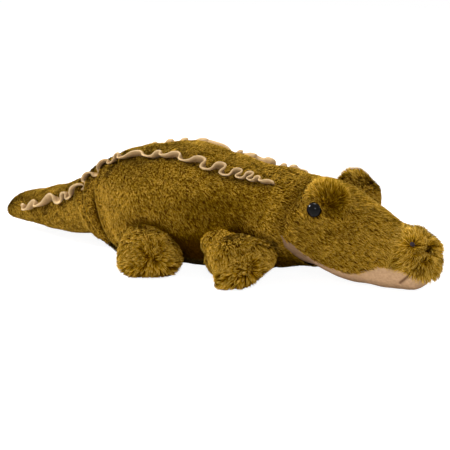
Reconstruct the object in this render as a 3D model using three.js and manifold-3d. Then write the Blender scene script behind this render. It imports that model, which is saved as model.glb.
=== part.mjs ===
// A plush caiman that lies on its belly: a stuffed body in sewn fur panels, a stuffed head with a soft
// jaw, brows and button eyes, a stuffed tail, four stuffed legs, and a gathered ruffle down each side
// of the back. Lengths are millimetres. +X runs to the nose, +Y to the animal's left and +Z up. The
// origin lies on the flat of the belly, under the middle of the body.
import * as THREE from 'three';
import { mergeVertices } from 'three/addons/utils/BufferGeometryUtils.js';
import Module from 'manifold-3d';

const wasm = await Module();
wasm.setup();

// Cloth and fits
const furThickness = 5; // backing and pressed pile of the fur cloth
const seamGap = 0.3; // free space between two sewn pieces, and round every stuffing
const floorCut = 0.5; // depth to which each round form is cut flat where it lies on the floor
const cutOverrun = 60; // how far a cutter runs past what it cuts

// Body: a form that swells between two round ends, the rump and the neck
const bodyHalfWidth = 80;
const bodyHeight = 124;
const rumpX = -90; // middle of the round tail end
const neckX = 84; // middle of the round neck end
const bellySeamHeight = 20;
const backSeamHeight = 56; // the back panel ends at this height on the round ends
const backSeamHalfWidth = 39; // half the space between the two ruffle seams
const neckOpeningRadius = 34;
const tailOpeningRadius = 22;
const tailOpeningHeight = 32;
// place from rump to neck, half width, top, underside
const bodyShares = [
  [0, 0.74, 0.79, 0],
  [0.26, 0.9, 0.93, 0],
  [0.55, 1, 1, 0],
  [0.8, 0.95, 0.935, 0],
  [1, 0.79, 0.85, 0],
];

// Head: wide at the cheeks, with a long flat snout and a round nose
const headStartX = 92;
const noseX = 262; // where the round end of the nose begins
const noseReach = 18;
const headHalfWidth = 56;
const headHeight = 107;
const neckRimAngle = 50; // degrees above the neck's level line at which the head cover ends
const throatRimAngle = 58; // degrees below it
const headShares = [
  [0, 0.98, 1, 0.1],
  [0.14, 1, 0.99, 0.12],
  [0.3, 0.98, 0.94, 0.07],
  [0.45, 0.88, 0.86, 0.02],
  [0.61, 0.73, 0.77, 0],
  [0.76, 0.61, 0.66, 0],
  [0.89, 0.54, 0.56, 0],
  [1, 0.53, 0.545, 0.02],
];
// place from the head's start to the nose tip, and height of the seam above the soft jaw
const jawSeamShares = [
  [-0.1, 0.5],
  [0.16, 0.42],
  [0.29, 0.34],
  [0.34, 0.25],
  [0.45, 0.165],
  [0.56, 0.14],
  [0.64, 0.18],
  [0.74, 0.235],
  [0.82, 0.255],
  [0.88, 0.235],
  [0.92, 0.19],
  [0.97, 0.16],
  [1.1, 0.14],
];

// Brows, eyes and nostrils
const browX = 171;
const browY = 35;
const browZ = 84;
const browLength = 50;
const browWidth = 38;
const browHeight = 46;
const eyeX = 166;
const eyeZ = 77;
const eyeRadius = 7.2;
const eyeBulge = 5.6; // height of the dome over its flat back
const eyeRimHeight = 1.2;
const eyeSeatDepth = 3; // how far the eye is pulled into the fur
const eyeTurn = 14; // degrees that an eye looks forward of square to the side
const stemRadius = 1.6;
const stemLength = 11;
const washerRadius = 6.5;
const washerThickness = 1.4;
const washerDepth = 7; // from the eye's flat back to the washer's near face
const nostrilX = 256;
const nostrilY = 17;
const nostrilLength = 10;
const nostrilWidth = 5;
const nostrilHeight = 2.4;

// Tail: a tapering form with a blunt tip
const tailRootX = -130;
const tailTipX = -248; // where the round tip begins
const tailTipReach = 15;
const tailHalfWidth = 44;
const tailHeight = 66;
const tailShares = [
  [0, 0.36, 0.48, 0.17],
  [0.12, 0.46, 0.62, 0.15],
  [0.28, 0.58, 0.72, 0.09],
  [0.44, 0.7, 0.79, 0.04],
  [0.6, 0.82, 0.86, 0],
  [0.78, 0.95, 0.95, 0],
  [1, 1, 1, 0],
];
// place from the tip to the root, and height of the ruffle seam
const tailSeamShares = [
  [-0.2, 0.38],
  [0.1, 0.4],
  [0.29, 0.41],
  [0.47, 0.45],
  [0.58, 0.56],
  [0.68, 0.72],
  [0.78, 0.82],
  [1.2, 0.95],
];

// Legs: short and round, sewn into the side panels on a round root
const legRootRadius = 21;
const legRootHeight = 31;
const legHalfWidth = 31;
const legHeight = 53;
const legLength = 33; // from the root's middle to where the round toe end begins
const toeReach = 20;
const hindLegX = -20;
const hindLegY = 63;
const hindLegHeading = 38; // degrees forward of square to the side
const frontLegX = 74;
const frontLegY = 54;
const frontLegHeading = 44;
const legSwingBack = 22; // degrees of travel that the shape leaves room for
const hindLegSwingForward = 20;
const frontLegSwingForward = 5;
const headClearance = 2; // between a front leg and the side of the head
const legShares = [
  [0, 0.78, 0.96, 0.14],
  [0.36, 0.9, 1, 0.06],
  [0.7, 1, 0.98, 0],
  [1, 0.98, 0.88, 0],
];

// Ruffles: doubled strips of smooth cloth that stand on edge in the seams
const ruffleHeight = 8.5;
const ruffleThickness = 2.6;
const ruffleSway = 4.6; // how far the free edge waves to each side
const ruffleFootSway = 1.6; // how far the sewn edge waves
const ruffleCrowd = 1; // how far the folds are pushed together along the seam
const bodyRuffleWaves = 13;
const tailRuffleWaves = 3;
const bodyRuffleStartX = -127;
const bodyRuffleEndX = 96;
const tailRuffleStartX = -222;
const tailRuffleEndX = -158;
const plainEndShare = 0.05; // of a ruffle's run, over which its waves die away

// Facet counts
const bodySides = 16;
const fillSides = 8;
const limbSides = 10;
const roundSides = 16;
const eyeSides = 10;
const stitchSides = 10;
const outerRings = 6; // rings along a cover, and in its round end
const outerCapRings = 3;
const innerRings = 4; // the same for a lining or a stuffing
const innerCapRings = 2;
const legRings = 3;
const legFillRings = 2;
const browRings = 6;
const browFillRings = 4;
const stepsInWave = 6;

const radians = THREE.MathUtils.degToRad;

// A closed three.js geometry as a solid
function solidOf(geometry) {
  const bare = geometry.clone();
  bare.deleteAttribute('normal');
  bare.deleteAttribute('uv');
  const merged = mergeVertices(bare);
  const corners = [];
  const index = merged.index.array;
  for (let i = 0; i < index.length; i += 3) {
    const [a, b, c] = [index[i], index[i + 1], index[i + 2]];
    if (a !== b && b !== c && c !== a) corners.push(a, b, c);
  }
  const vertProperties = new Float32Array(merged.attributes.position.array);
  const triVerts = new Uint32Array(corners);
  return new wasm.Manifold(new wasm.Mesh({ numProp: 3, vertProperties, triVerts }));
}

function geometryOf(solid) {
  const { numProp, vertProperties, triVerts } = solid.getMesh();
  const points = [];
  for (let i = 0; i < vertProperties.length; i += numProp) {
    points.push(vertProperties[i], vertProperties[i + 1], vertProperties[i + 2]);
  }
  const geometry = new THREE.BufferGeometry();
  geometry.setAttribute('position', new THREE.Float32BufferAttribute(points, 3));
  geometry.setIndex(Array.from(triVerts));
  return geometry;
}

// The same solid on the animal's other side
function mirrored(solid) {
  const geometry = geometryOf(solid);
  geometry.scale(1, -1, 1);
  const index = geometry.index.array;
  for (let i = 0; i < index.length; i += 3) [index[i], index[i + 1]] = [index[i + 1], index[i]];
  return solidOf(geometry);
}

// Facets lie inside a true round; this makes the facets of a cutter lie outside it
const roundedOut = (sides) => 1 / Math.cos(Math.PI / sides);

function block(lowX, highX, lowY, highY, lowZ, highZ) {
  const box = new THREE.BoxGeometry(highX - lowX, highY - lowY, highZ - lowZ);
  box.translate((lowX + highX) / 2, (lowY + highY) / 2, (lowZ + highZ) / 2);
  return box;
}

const farX = bodyHeight + noseX + cutOverrun;
const farY = bodyHalfWidth + legLength + cutOverrun;
const farZ = bodyHeight + cutOverrun;
const belowFloor = solidOf(block(-farX, farX, -farY, farY, -cutOverrun, 0));
const rightHalf = solidOf(block(-farX, farX, -farY, -seamGap / 2, -cutOverrun, farZ));
const leftHalf = mirrored(rightHalf);

// A smooth value between the rows of a table, read at a place in its first column
function rowAt(rows, place) {
  const last = rows.length - 1;
  let k = 0;
  while (k < last - 1 && place > rows[k + 1][0]) k += 1;
  const [before, a, b, after] = [rows[Math.max(k - 1, 0)], rows[k], rows[k + 1], rows[Math.min(k + 2, last)]];
  const t = THREE.MathUtils.clamp((place - a[0]) / (b[0] - a[0]), 0, 1);
  const run = b[0] - a[0];
  return a.slice(1).map((value, i) => {
    const rise = ((b[i + 1] - before[i + 1]) / (b[0] - before[0])) * run;
    const fall = ((after[i + 1] - a[i + 1]) / (after[0] - a[0])) * run;
    const swing = [2 * t ** 3 - 3 * t ** 2 + 1, t ** 3 - 2 * t ** 2 + t, -2 * t ** 3 + 3 * t ** 2, t ** 3 - t ** 2];
    return swing[0] * value + swing[1] * rise + swing[2] * b[i + 1] + swing[3] * fall;
  });
}

// A stuffed form along X. Its cross sections are ellipses from a table of shares, and each end may be
// drawn out into a round cap. An inset gives the form of the lining or of the stuffing inside it. The
// sections are sunk a little, so that the lowest facet is what the floor cuts flat.
class StuffedForm {
  constructor({ start, end, halfWidth, height, shares, sides, startReach = 0, endReach = 0 }) {
    Object.assign(this, { start, end, halfWidth, height, shares, sides, startReach, endReach });
    this.sink = floorCut + (height / 2) * (1 - Math.cos(Math.PI / sides));
  }

  section(x, inset = 0) {
    const place = THREE.MathUtils.clamp((x - this.start) / (this.end - this.start), 0, 1);
    const [width, top, underside] = rowAt(this.shares, place);
    const high = top * this.height;
    const low = underside * this.height - this.sink;
    const past = Math.max(this.start - x, x - this.end, 0);
    const reach = x < this.start ? this.startReach : this.endReach;
    const drawn = past > 0 ? Math.min(past / (reach - inset), 1) : 0;
    const scale = Math.sqrt(1 - drawn ** 2);
    return {
      middle: (high + low) / 2,
      across: (width * this.halfWidth - inset) * scale,
      up: ((high - low) / 2 - inset) * scale,
    };
  }

  point(x, angle, inset = 0) {
    const { middle, across, up } = this.section(x, inset);
    return new THREE.Vector3(x, across * Math.cos(angle), middle + up * Math.sin(angle));
  }

  // Outward direction of the surface
  facing(x, angle) {
    const step = this.halfWidth / 100;
    const alongX = this.point(x + step, angle).sub(this.point(x - step, angle));
    const around = this.point(x, angle + 1 / 100).sub(this.point(x, angle - 1 / 100));
    return around.cross(alongX).normalize();
  }

  // Angle on the section at which the surface lies this far to the side, above its middle
  angleAtSide(x, side) {
    return Math.acos(THREE.MathUtils.clamp(side / this.section(x).across, -1, 1));
  }

  angleAtHeight(x, height) {
    const { middle, up } = this.section(x);
    return Math.asin(THREE.MathUtils.clamp((height - middle) / up, -1, 1));
  }

  geometry(inset, ringCount, capRings, sides = this.sides) {
    const places = [];
    const startReach = Math.max(this.startReach - inset, 0);
    const endReach = Math.max(this.endReach - inset, 0);
    const startX = this.startReach > 0 ? this.start : this.start + inset;
    const endX = this.endReach > 0 ? this.end : this.end - inset;
    for (let i = capRings - 1; i > 0 && startReach > 0; i -= 1) {
      places.push(startX - startReach * Math.sin((Math.PI / 2) * (i / capRings)));
    }
    for (let i = 0; i <= ringCount; i += 1) places.push(startX + ((endX - startX) * i) / ringCount);
    for (let i = 1; i < capRings && endReach > 0; i += 1) {
      places.push(endX + endReach * Math.sin((Math.PI / 2) * (i / capRings)));
    }
    const points = [];
    for (const x of places) {
      for (let k = 0; k < sides; k += 1) {
        points.push(this.point(x, (2 * Math.PI * (k + 1 / 2)) / sides, inset));
      }
    }
    const first = points.push(new THREE.Vector3(startX - startReach, 0, this.section(startX).middle)) - 1;
    const last = points.push(new THREE.Vector3(endX + endReach, 0, this.section(endX).middle)) - 1;
    const faces = [];
    const lastRing = (places.length - 1) * sides;
    for (let k = 0; k < sides; k += 1) {
      const next = (k + 1) % sides;
      faces.push(first, next, k, last, lastRing + k, lastRing + next);
      const onLeft = Math.cos((2 * Math.PI * (k + 1)) / sides) > 0;
      for (let ring = 0; ring < lastRing; ring += sides) {
        const [a, b, c, d] = [ring + k, ring + next, ring + sides + next, ring + sides + k];
        if (onLeft) faces.push(a, b, c, a, c, d);
        else faces.push(a, b, d, b, c, d);
      }
    }
    const geometry = new THREE.BufferGeometry().setFromPoints(points);
    geometry.setIndex(faces);
    return geometry;
  }
}

const bodyForm = new StuffedForm({
  start: rumpX,
  end: neckX,
  halfWidth: bodyHalfWidth,
  height: bodyHeight,
  shares: bodyShares,
  sides: bodySides,
});
// The round ends of the body are turned about the joints inside them: the rump about an upright axis,
// for the tail, and the neck about a level one, for the head.
const rump = bodyForm.section(rumpX);
const neck = bodyForm.section(neckX);
bodyForm.startReach = rump.across;
bodyForm.endReach = neck.up;
const headForm = new StuffedForm({
  start: headStartX,
  end: noseX,
  halfWidth: headHalfWidth,
  height: headHeight,
  shares: headShares,
  sides: bodySides,
  endReach: noseReach,
});
const tailForm = new StuffedForm({
  start: tailTipX,
  end: tailRootX,
  halfWidth: tailHalfWidth,
  height: tailHeight,
  shares: tailShares,
  sides: limbSides,
  startReach: tailTipReach,
});
const legForm = new StuffedForm({
  start: 0,
  end: legLength,
  halfWidth: legHalfWidth,
  height: legHeight,
  shares: legShares,
  sides: limbSides,
  endReach: toeReach,
});

// An ellipsoid turned about Y, as at the neck, or about Z, as at the rump and the leg roots. As a rule
// it is a cutter, with its facets outside the true form both ways round.
function roundEnd(x, z, radius, halfDepth, axis, outset, sides, grow = roundedOut(sides) ** 2) {
  const ball = new THREE.SphereGeometry(1, sides, sides / 2);
  if (axis === 'Z') ball.rotateX(Math.PI / 2);
  const [r, h] = [(radius + outset) * grow, (halfDepth + outset) * grow];
  ball.scale(r, axis === 'Z' ? r : h, axis === 'Z' ? h : r);
  ball.translate(x, 0, z);
  return ball;
}

function rodAlongX(fromX, toX, height, radius) {
  const rod = new THREE.CylinderGeometry(radius, radius, toX - fromX, roundSides);
  rod.rotateZ(Math.PI / 2);
  rod.translate((fromX + toX) / 2, 0, height);
  return rod;
}

// A plate whose outline is drawn on the XZ plane, wide enough to cut right through
function sidePlate(outline) {
  const shape = new THREE.Shape(outline.map(([x, z]) => new THREE.Vector2(x, z)));
  const plate = new THREE.ExtrudeGeometry(shape, { depth: 2 * farY, bevelEnabled: false });
  plate.rotateX(Math.PI / 2);
  plate.translate(0, farY, 0);
  return solidOf(plate);
}

// Everything below a seam whose heights are a table of shares
function belowSeam(shares, startX, length, height, lift) {
  const outline = [];
  const steps = 2 * shares.length;
  const firstShare = shares[0][0];
  const shareRun = shares[shares.length - 1][0] - firstShare;
  for (let i = 0; i <= steps; i += 1) {
    const share = firstShare + (shareRun * i) / steps;
    outline.push([startX + share * length, rowAt(shares, share)[0] * height + lift]);
  }
  outline.push([outline[steps][0], -cutOverrun], [outline[0][0], -cutOverrun]);
  return sidePlate(outline);
}

// Legs
// A leg's own frame has its root's middle on the Z axis and its toes along +X.
const legSpots = [
  {
    name: 'hind',
    x: hindLegX,
    y: hindLegY,
    heading: hindLegHeading,
    forward: hindLegSwingForward,
  },
  {
    name: 'front',
    x: frontLegX,
    y: frontLegY,
    heading: frontLegHeading,
    forward: frontLegSwingForward,
  },
];

const placeRightLeg = (geometry, { x, y, heading }) =>
  geometry.rotateZ(radians(heading - 90)).translate(x, -y, 0);

// What a right leg must stay clear of as it swings about its root: the wall of the body's side beside
// it, and the side of the head
function legKeepOut({ x, y, forward }, inset) {
  const { middle, across, up } = bodyForm.section(x);
  const near = legRootRadius;
  const narrowing = bodyForm.section(x - near).across - bodyForm.section(x + near).across;
  const wallTurn = THREE.MathUtils.radToDeg(Math.atan2(narrowing, 2 * near));
  const room = roundedOut(limbSides);
  const outline = new THREE.Shape();
  const clear = seamGap + inset;
  for (let k = 0; k < limbSides; k += 1) {
    const angle = (2 * Math.PI * (k + 1 / 2)) / limbSides;
    const side = (across + clear) * room * Math.cos(angle);
    const height = middle + (up + clear) * room * Math.sin(angle);
    if (k === 0) outline.moveTo(side, height);
    else outline.lineTo(side, height);
  }
  const wall = () =>
    new THREE.ExtrudeGeometry(outline, { depth: 2 * farY, bevelEnabled: false })
      .rotateX(Math.PI / 2)
      .rotateZ(Math.PI / 2)
      .translate(-farY, across, 0)
      .rotateZ(radians(wallTurn));
  const besideLeg = (geometry) => geometry.translate(x, -across, 0);
  const headSide = headHalfWidth + headClearance + inset;
  const head = block(headStartX, farX, -headSide, headSide, -cutOverrun, farZ);
  const turned = (geometry, degrees) =>
    solidOf(geometry.translate(-x, y, 0).rotateZ(radians(degrees)).translate(x, -y, 0));
  return turned(besideLeg(wall()), legSwingBack)
    .add(turned(besideLeg(wall()), -forward))
    .add(turned(head, -forward));
}

function rightLegSolid(spot, inset) {
  const [sides, rings] = inset > 0 ? [fillSides, legFillRings] : [limbSides, legRings];
  const root = roundEnd(0, legRootHeight, legRootRadius, legRootRadius, 'Z', -inset, sides, 1);
  root.rotateZ(Math.PI / sides);
  const leg = legForm.geometry(inset, rings, rings, sides);
  return solidOf(placeRightLeg(leg, spot))
    .subtract(legKeepOut(spot, inset))
    .add(solidOf(placeRightLeg(root, spot)));
}

// The cover stops at the side panel's armhole; the stuffing goes on into the body
function legCoverAndFill(spot) {
  const rimShare = 0.45;
  const inside = block(-farX, -legRootRadius * rimShare, -farY, farY, -farZ, farZ);
  const cover = rightLegSolid(spot, 0)
    .subtract(rightLegSolid(spot, furThickness))
    .subtract(solidOf(placeRightLeg(inside, spot)))
    .subtract(belowFloor);
  const fill = rightLegSolid(spot, furThickness + seamGap).subtract(belowFloor);
  return { cover, fill };
}

// The leg's round root and its socket have the same rings, so one way round is enough here. The root
// is turned by half a facet, and its edges run close to the middles of the socket's facets.
function legSocket(spot) {
  const [radius, grow] = [legRootRadius, roundedOut(limbSides)];
  const ball = roundEnd(0, legRootHeight, radius, radius, 'Z', seamGap, limbSides, grow);
  return solidOf(placeRightLeg(ball, spot));
}

// Body
function buildBody() {
  const bodyInside = (inset) =>
    solidOf(bodyForm.geometry(inset, innerRings, innerCapRings, fillSides));
  const outer = solidOf(bodyForm.geometry(0, outerRings, outerCapRings));
  let sockets = legSocket(legSpots[0]).add(legSocket(legSpots[1]));
  sockets = sockets.add(mirrored(sockets));
  const neckHole = (gap) =>
    solidOf(rodAlongX(neckX, farX, neck.middle, neckOpeningRadius - gap));
  const tailHole = (gap) =>
    solidOf(rodAlongX(-farX, rumpX, tailOpeningHeight, tailOpeningRadius - gap));
  const shell = outer
    .subtract(bodyInside(furThickness))
    .subtract(neckHole(0))
    .subtract(tailHole(0))
    .subtract(sockets)
    .subtract(belowFloor);
  const fill = bodyInside(furThickness + seamGap)
    .add(outer.intersect(neckHole(seamGap)))
    .add(outer.intersect(tailHole(seamGap)))
    .subtract(sockets)
    .subtract(belowFloor);
  const halfGap = seamGap / 2;
  const backBlock = (grow) => {
    const side = backSeamHalfWidth + grow;
    return solidOf(block(-farX, farX, -side, side, backSeamHeight - grow, farZ));
  };
  const bellyBlock = (grow) =>
    solidOf(block(-farX, farX, -farY, farY, -cutOverrun, bellySeamHeight + grow));
  const sides = shell.subtract(backBlock(halfGap)).subtract(bellyBlock(halfGap));
  return {
    torso_fill: fill,
    back_panel: shell.intersect(backBlock(-halfGap)),
    side_panel_right: sides.intersect(rightHalf),
    side_panel_left: sides.intersect(leftHalf),
    belly_panel: shell.intersect(bellyBlock(-halfGap)),
  };
}

// Head
const headLength = noseX + noseReach - headStartX;

// The neck of the head form is cut to a fan about the neck joint, and hollowed round the body's end
function neckCut() {
  const out = farX;
  const [top, throat] = [radians(neckRimAngle), radians(throatRimAngle)];
  const fan = sidePlate([
    [neckX, neck.middle],
    [neckX + out * Math.cos(throat), neck.middle - out * Math.sin(throat)],
    [neckX + out, neck.middle],
    [neckX + out * Math.cos(top), neck.middle + out * Math.sin(top)],
  ]);
  const hollow = solidOf(
    roundEnd(neckX, neck.middle, neck.up, neck.across, 'Y', seamGap, roundSides),
  );
  return { fan, hollow };
}

function browSolid(inset) {
  const rings = inset > 0 ? browFillRings : browRings;
  const ball = new THREE.SphereGeometry(1, fillSides, rings);
  ball.scale(browLength / 2 - inset, browWidth / 2 - inset, browHeight / 2 - inset);
  ball.translate(browX, -browY, browZ);
  return solidOf(ball);
}

// An eye's own frame has its flat back on the XY plane and looks along +Z
const turnedProfile = (points, sides) =>
  new THREE.LatheGeometry(points.map(([r, h]) => new THREE.Vector2(r, h)), sides).rotateX(Math.PI / 2);

function placeRightEye(geometry) {
  const middle = headForm.section(eyeX).middle;
  const lift = (eyeZ - middle) / headForm.section(eyeX).up;
  const headSide = headForm.section(eyeX).across * Math.sqrt(1 - lift ** 2);
  const sideways = (eyeX - browX) / (browLength / 2);
  const upward = (eyeZ - browZ) / (browHeight / 2);
  const browSide = browY + (browWidth / 2) * Math.sqrt(1 - sideways ** 2 - upward ** 2);
  const seat = Math.max(headSide, browSide) - eyeSeatDepth;
  return geometry
    .rotateX(Math.PI / 2)
    .rotateZ(radians(eyeTurn))
    .translate(eyeX, -seat, eyeZ);
}

function eyeProfile(gap) {
  const points = [
    [0, -stemLength - gap],
    [stemRadius + gap, -stemLength - gap],
    [stemRadius + gap, -gap],
    [eyeRadius + gap, -gap],
    [eyeRadius + gap, eyeRimHeight],
  ];
  const arcSteps = 5;
  for (let i = 1; i <= arcSteps; i += 1) {
    const angle = (Math.PI / 2) * (i / arcSteps);
    const height = eyeRimHeight + (eyeBulge + gap - eyeRimHeight) * Math.sin(angle);
    points.push([i < arcSteps ? (eyeRadius + gap) * Math.cos(angle) : 0, height]);
  }
  return points;
}

function washerProfile(gap) {
  const hole = gap > 0 ? 0 : stemRadius + seamGap;
  const near = -washerDepth + gap;
  const far = -washerDepth - washerThickness - gap;
  const ring = [
    [hole, far],
    [washerRadius + gap, far],
    [washerRadius + gap, near],
    [hole, near],
  ];
  return hole > 0 ? [...ring, ring[0]] : ring;
}

function buildHead() {
  const { fan, hollow } = neckCut();
  const headOutside = (outset) =>
    solidOf(headForm.geometry(-outset, outerRings, outerCapRings, bodySides));
  const headInside = (inset) =>
    solidOf(headForm.geometry(inset, innerRings, innerCapRings, fillSides));
  const outer = headOutside(0);
  const eye = solidOf(placeRightEye(turnedProfile(eyeProfile(0), eyeSides)));
  const eyeRoom = solidOf(placeRightEye(turnedProfile(eyeProfile(seamGap), eyeSides)));
  const washer = solidOf(placeRightEye(turnedProfile(washerProfile(0), eyeSides)));
  const washerRoom = solidOf(placeRightEye(turnedProfile(washerProfile(seamGap), eyeSides)));
  const bothEyeRooms = eyeRoom.add(mirrored(eyeRoom));
  const bothWasherRooms = washerRoom.add(mirrored(washerRoom));
  const shell = outer
    .subtract(headInside(furThickness))
    .intersect(fan)
    .subtract(hollow)
    .subtract(bothEyeRooms)
    .subtract(bothWasherRooms)
    .subtract(belowFloor);
  const fill = headInside(furThickness + seamGap)
    .intersect(fan)
    .subtract(hollow)
    .subtract(bothEyeRooms)
    .subtract(bothWasherRooms)
    .subtract(belowFloor);
  const jaw = (lift) => belowSeam(jawSeamShares, headStartX, headLength, headHeight, lift);
  const seat = headOutside(seamGap);
  const browOuter = browSolid(0);
  const rooms = seat.add(eyeRoom).add(washerRoom);
  const browCover = browOuter.subtract(browSolid(furThickness)).subtract(rooms);
  const browFill = browSolid(furThickness + seamGap).subtract(rooms);
  const lift = headForm.angleAtSide(nostrilX, nostrilY);
  const patch = new THREE.SphereGeometry(1, stitchSides, stitchSides / 2);
  patch.scale(nostrilLength / 2, nostrilWidth / 2, nostrilHeight);
  const spot = headForm.point(nostrilX, lift);
  patch.rotateX(Math.PI / 2 - lift).translate(nostrilX, -spot.y, spot.z);
  const nostril = solidOf(patch).subtract(seat);
  return {
    head_fill: fill,
    head_cover: shell.subtract(jaw(seamGap)),
    jaw_panel: shell.intersect(jaw(0)),
    brow_cover_right: browCover,
    brow_cover_left: mirrored(browCover),
    brow_fill_right: browFill,
    brow_fill_left: mirrored(browFill),
    eye_right: eye,
    eye_left: mirrored(eye),
    eye_washer_right: washer,
    eye_washer_left: mirrored(washer),
    nostril_right: nostril,
    nostril_left: mirrored(nostril),
  };
}

// Tail
function buildTail() {
  const tailLength = tailRootX - tailTipX;
  const hollow = solidOf(
    roundEnd(rumpX, rump.middle, rump.across, rump.up, 'Z', seamGap, roundSides),
  );
  const tailInside = (inset) =>
    solidOf(tailForm.geometry(inset, innerRings, innerCapRings, fillSides));
  const shell = solidOf(tailForm.geometry(0, outerRings, outerCapRings))
    .subtract(tailInside(furThickness))
    .subtract(hollow)
    .subtract(belowFloor);
  const seam = (lift) => belowSeam(tailSeamShares, tailTipX, tailLength, tailHeight, lift);
  return {
    tail_fill: tailInside(furThickness + seamGap).subtract(hollow).subtract(belowFloor),
    tail_top_panel: shell.subtract(seam(seamGap)),
    tail_under_panel: shell.intersect(seam(0)),
  };
}

// Ruffles
// A doubled strip follows its seam in folds. Its sewn edge lies along the seam, and its free edge waves
// further to each side. Five points go round its section: two at the foot, two at the shoulders and a
// rounded ridge.
function ruffle(form, startX, endX, angleAt, waves) {
  const steps = waves * stepsInWave;
  const points = [];
  const centre = (share, swayFoot) => {
    const phase = 2 * Math.PI * waves * share;
    const fade = Math.min(share, 1 - share, plainEndShare) / plainEndShare;
    const uneven = 1 + Math.sin(phase / Math.PI) / 4;
    const x = startX + (endX - startX) * share + ruffleCrowd * fade * Math.sin(2 * phase);
    const radius = form.section(x).across;
    const side = fade * uneven * Math.sin(phase);
    const angle = angleAt(x) + (swayFoot * side) / radius;
    return { x, angle, side };
  };
  for (let i = 0; i <= steps; i += 1) {
    const share = i / steps;
    const near = 1 / (4 * steps);
    const here = centre(share, ruffleFootSway);
    const ahead = centre(Math.min(share + near, 1), ruffleFootSway);
    const behind = centre(Math.max(share - near, 0), ruffleFootSway);
    const foot = form.point(here.x, here.angle, -seamGap);
    const up = form.facing(here.x, here.angle);
    const along = form.point(ahead.x, ahead.angle).sub(form.point(behind.x, behind.angle)).normalize();
    const across = new THREE.Vector3().crossVectors(up, along).normalize();
    const seamAcross = form.point(here.x, here.angle + 1 / 100).sub(foot).projectOnPlane(up).normalize();
    const lean = seamAcross.multiplyScalar((ruffleSway - ruffleFootSway) * here.side);
    const half = across.clone().multiplyScalar(ruffleThickness / 2);
    const shoulder = foot.clone().addScaledVector(up, ruffleHeight - ruffleThickness / 2).add(lean);
    const ridge = foot.clone().addScaledVector(up, ruffleHeight).add(lean);
    const lifted = foot.clone().addScaledVector(up, seamGap);
    points.push(lifted.clone().sub(half), lifted.clone().add(half));
    points.push(shoulder.clone().add(half), ridge, shoulder.clone().sub(half));
  }
  const around = 5;
  const faces = [];
  for (let i = 0; i < steps; i += 1) {
    for (let k = 0; k < around; k += 1) {
      const [a, b] = [i * around + k, i * around + ((k + 1) % around)];
      faces.push(a, b, b + around, a, b + around, a + around);
    }
  }
  const end = steps * around;
  for (let k = 1; k < around - 1; k += 1) {
    faces.push(0, k + 1, k, end, end + k, end + k + 1);
  }
  const geometry = new THREE.BufferGeometry().setFromPoints(points);
  geometry.setIndex(faces);
  return solidOf(geometry);
}

function buildRuffles() {
  const tailLength = tailRootX - tailTipX;
  const seamHeight = (x) => rowAt(tailSeamShares, (x - tailTipX) / tailLength)[0] * tailHeight;
  const bodyAngle = (x) => bodyForm.angleAtSide(x, backSeamHalfWidth);
  const tailAngle = (x) => tailForm.angleAtHeight(x, seamHeight(x));
  const body = ruffle(bodyForm, bodyRuffleStartX, bodyRuffleEndX, bodyAngle, bodyRuffleWaves);
  const tail = ruffle(tailForm, tailRuffleStartX, tailRuffleEndX, tailAngle, tailRuffleWaves);
  return {
    ruffle_left: body,
    ruffle_right: mirrored(body),
    tail_ruffle_left: tail,
    tail_ruffle_right: mirrored(tail),
  };
}

function buildLegs() {
  const pieces = {};
  for (const spot of legSpots) {
    const { cover, fill } = legCoverAndFill(spot);
    pieces[`${spot.name}_leg_cover_right`] = cover;
    pieces[`${spot.name}_leg_cover_left`] = mirrored(cover);
    pieces[`${spot.name}_leg_fill_right`] = fill;
    pieces[`${spot.name}_leg_fill_left`] = mirrored(fill);
  }
  return pieces;
}

// Finishes
const fur = () => new THREE.MeshStandardMaterial({ color: 0x8a6825, roughness: 0.95, metalness: 0 });
const bellyFur = () => new THREE.MeshStandardMaterial({ color: 0x4a3a16, roughness: 0.95, metalness: 0 });
const jawCloth = () => new THREE.MeshStandardMaterial({ color: 0xb4916d, roughness: 0.85, metalness: 0 });
const ruffleCloth = () => new THREE.MeshStandardMaterial({ color: 0x9a7c53, roughness: 0.85, metalness: 0 });
const stuffing = () => new THREE.MeshStandardMaterial({ color: 0xf0eee8, roughness: 1, metalness: 0 });
const blackGloss = () => new THREE.MeshStandardMaterial({ color: 0x14100e, roughness: 0.12, metalness: 0 });
const washerPlastic = () => new THREE.MeshStandardMaterial({ color: 0xe6e4dc, roughness: 0.5, metalness: 0 });
const noseThread = () => new THREE.MeshStandardMaterial({ color: 0x3a2420, roughness: 0.7, metalness: 0 });

function finishFor(name) {
  if (name.includes('fill')) return stuffing();
  if (name.includes('ruffle')) return ruffleCloth();
  if (name.includes('washer')) return washerPlastic();
  if (name.startsWith('eye')) return blackGloss();
  if (name.startsWith('nostril')) return noseThread();
  if (name === 'jaw_panel') return jawCloth();
  if (name === 'belly_panel') return bellyFur();
  return fur();
}

function groupOf(pieces) {
  const group = new THREE.Group();
  for (const [name, solid] of Object.entries(pieces)) {
    const mesh = new THREE.Mesh(geometryOf(solid), finishFor(name));
    mesh.name = name;
    group.add(mesh);
  }
  return group;
}

const caiman = new THREE.Group();
for (const build of [buildBody, buildHead, buildTail, buildLegs, buildRuffles]) {
  caiman.add(groupOf(build()));
}

export default caiman;
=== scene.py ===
"""A plush caiman lying on its belly: sewn fur covers over stuffing, a soft jaw, button eyes and gathered
ruffles. Metres, +X to the nose, +Y to the animal's left, +Z up. Sizes are written in millimetres."""
import math

import bmesh
import bpy
import numpy as np
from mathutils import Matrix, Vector, noise
from mathutils.bvhtree import BVHTree
from mathutils.kdtree import KDTree


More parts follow.
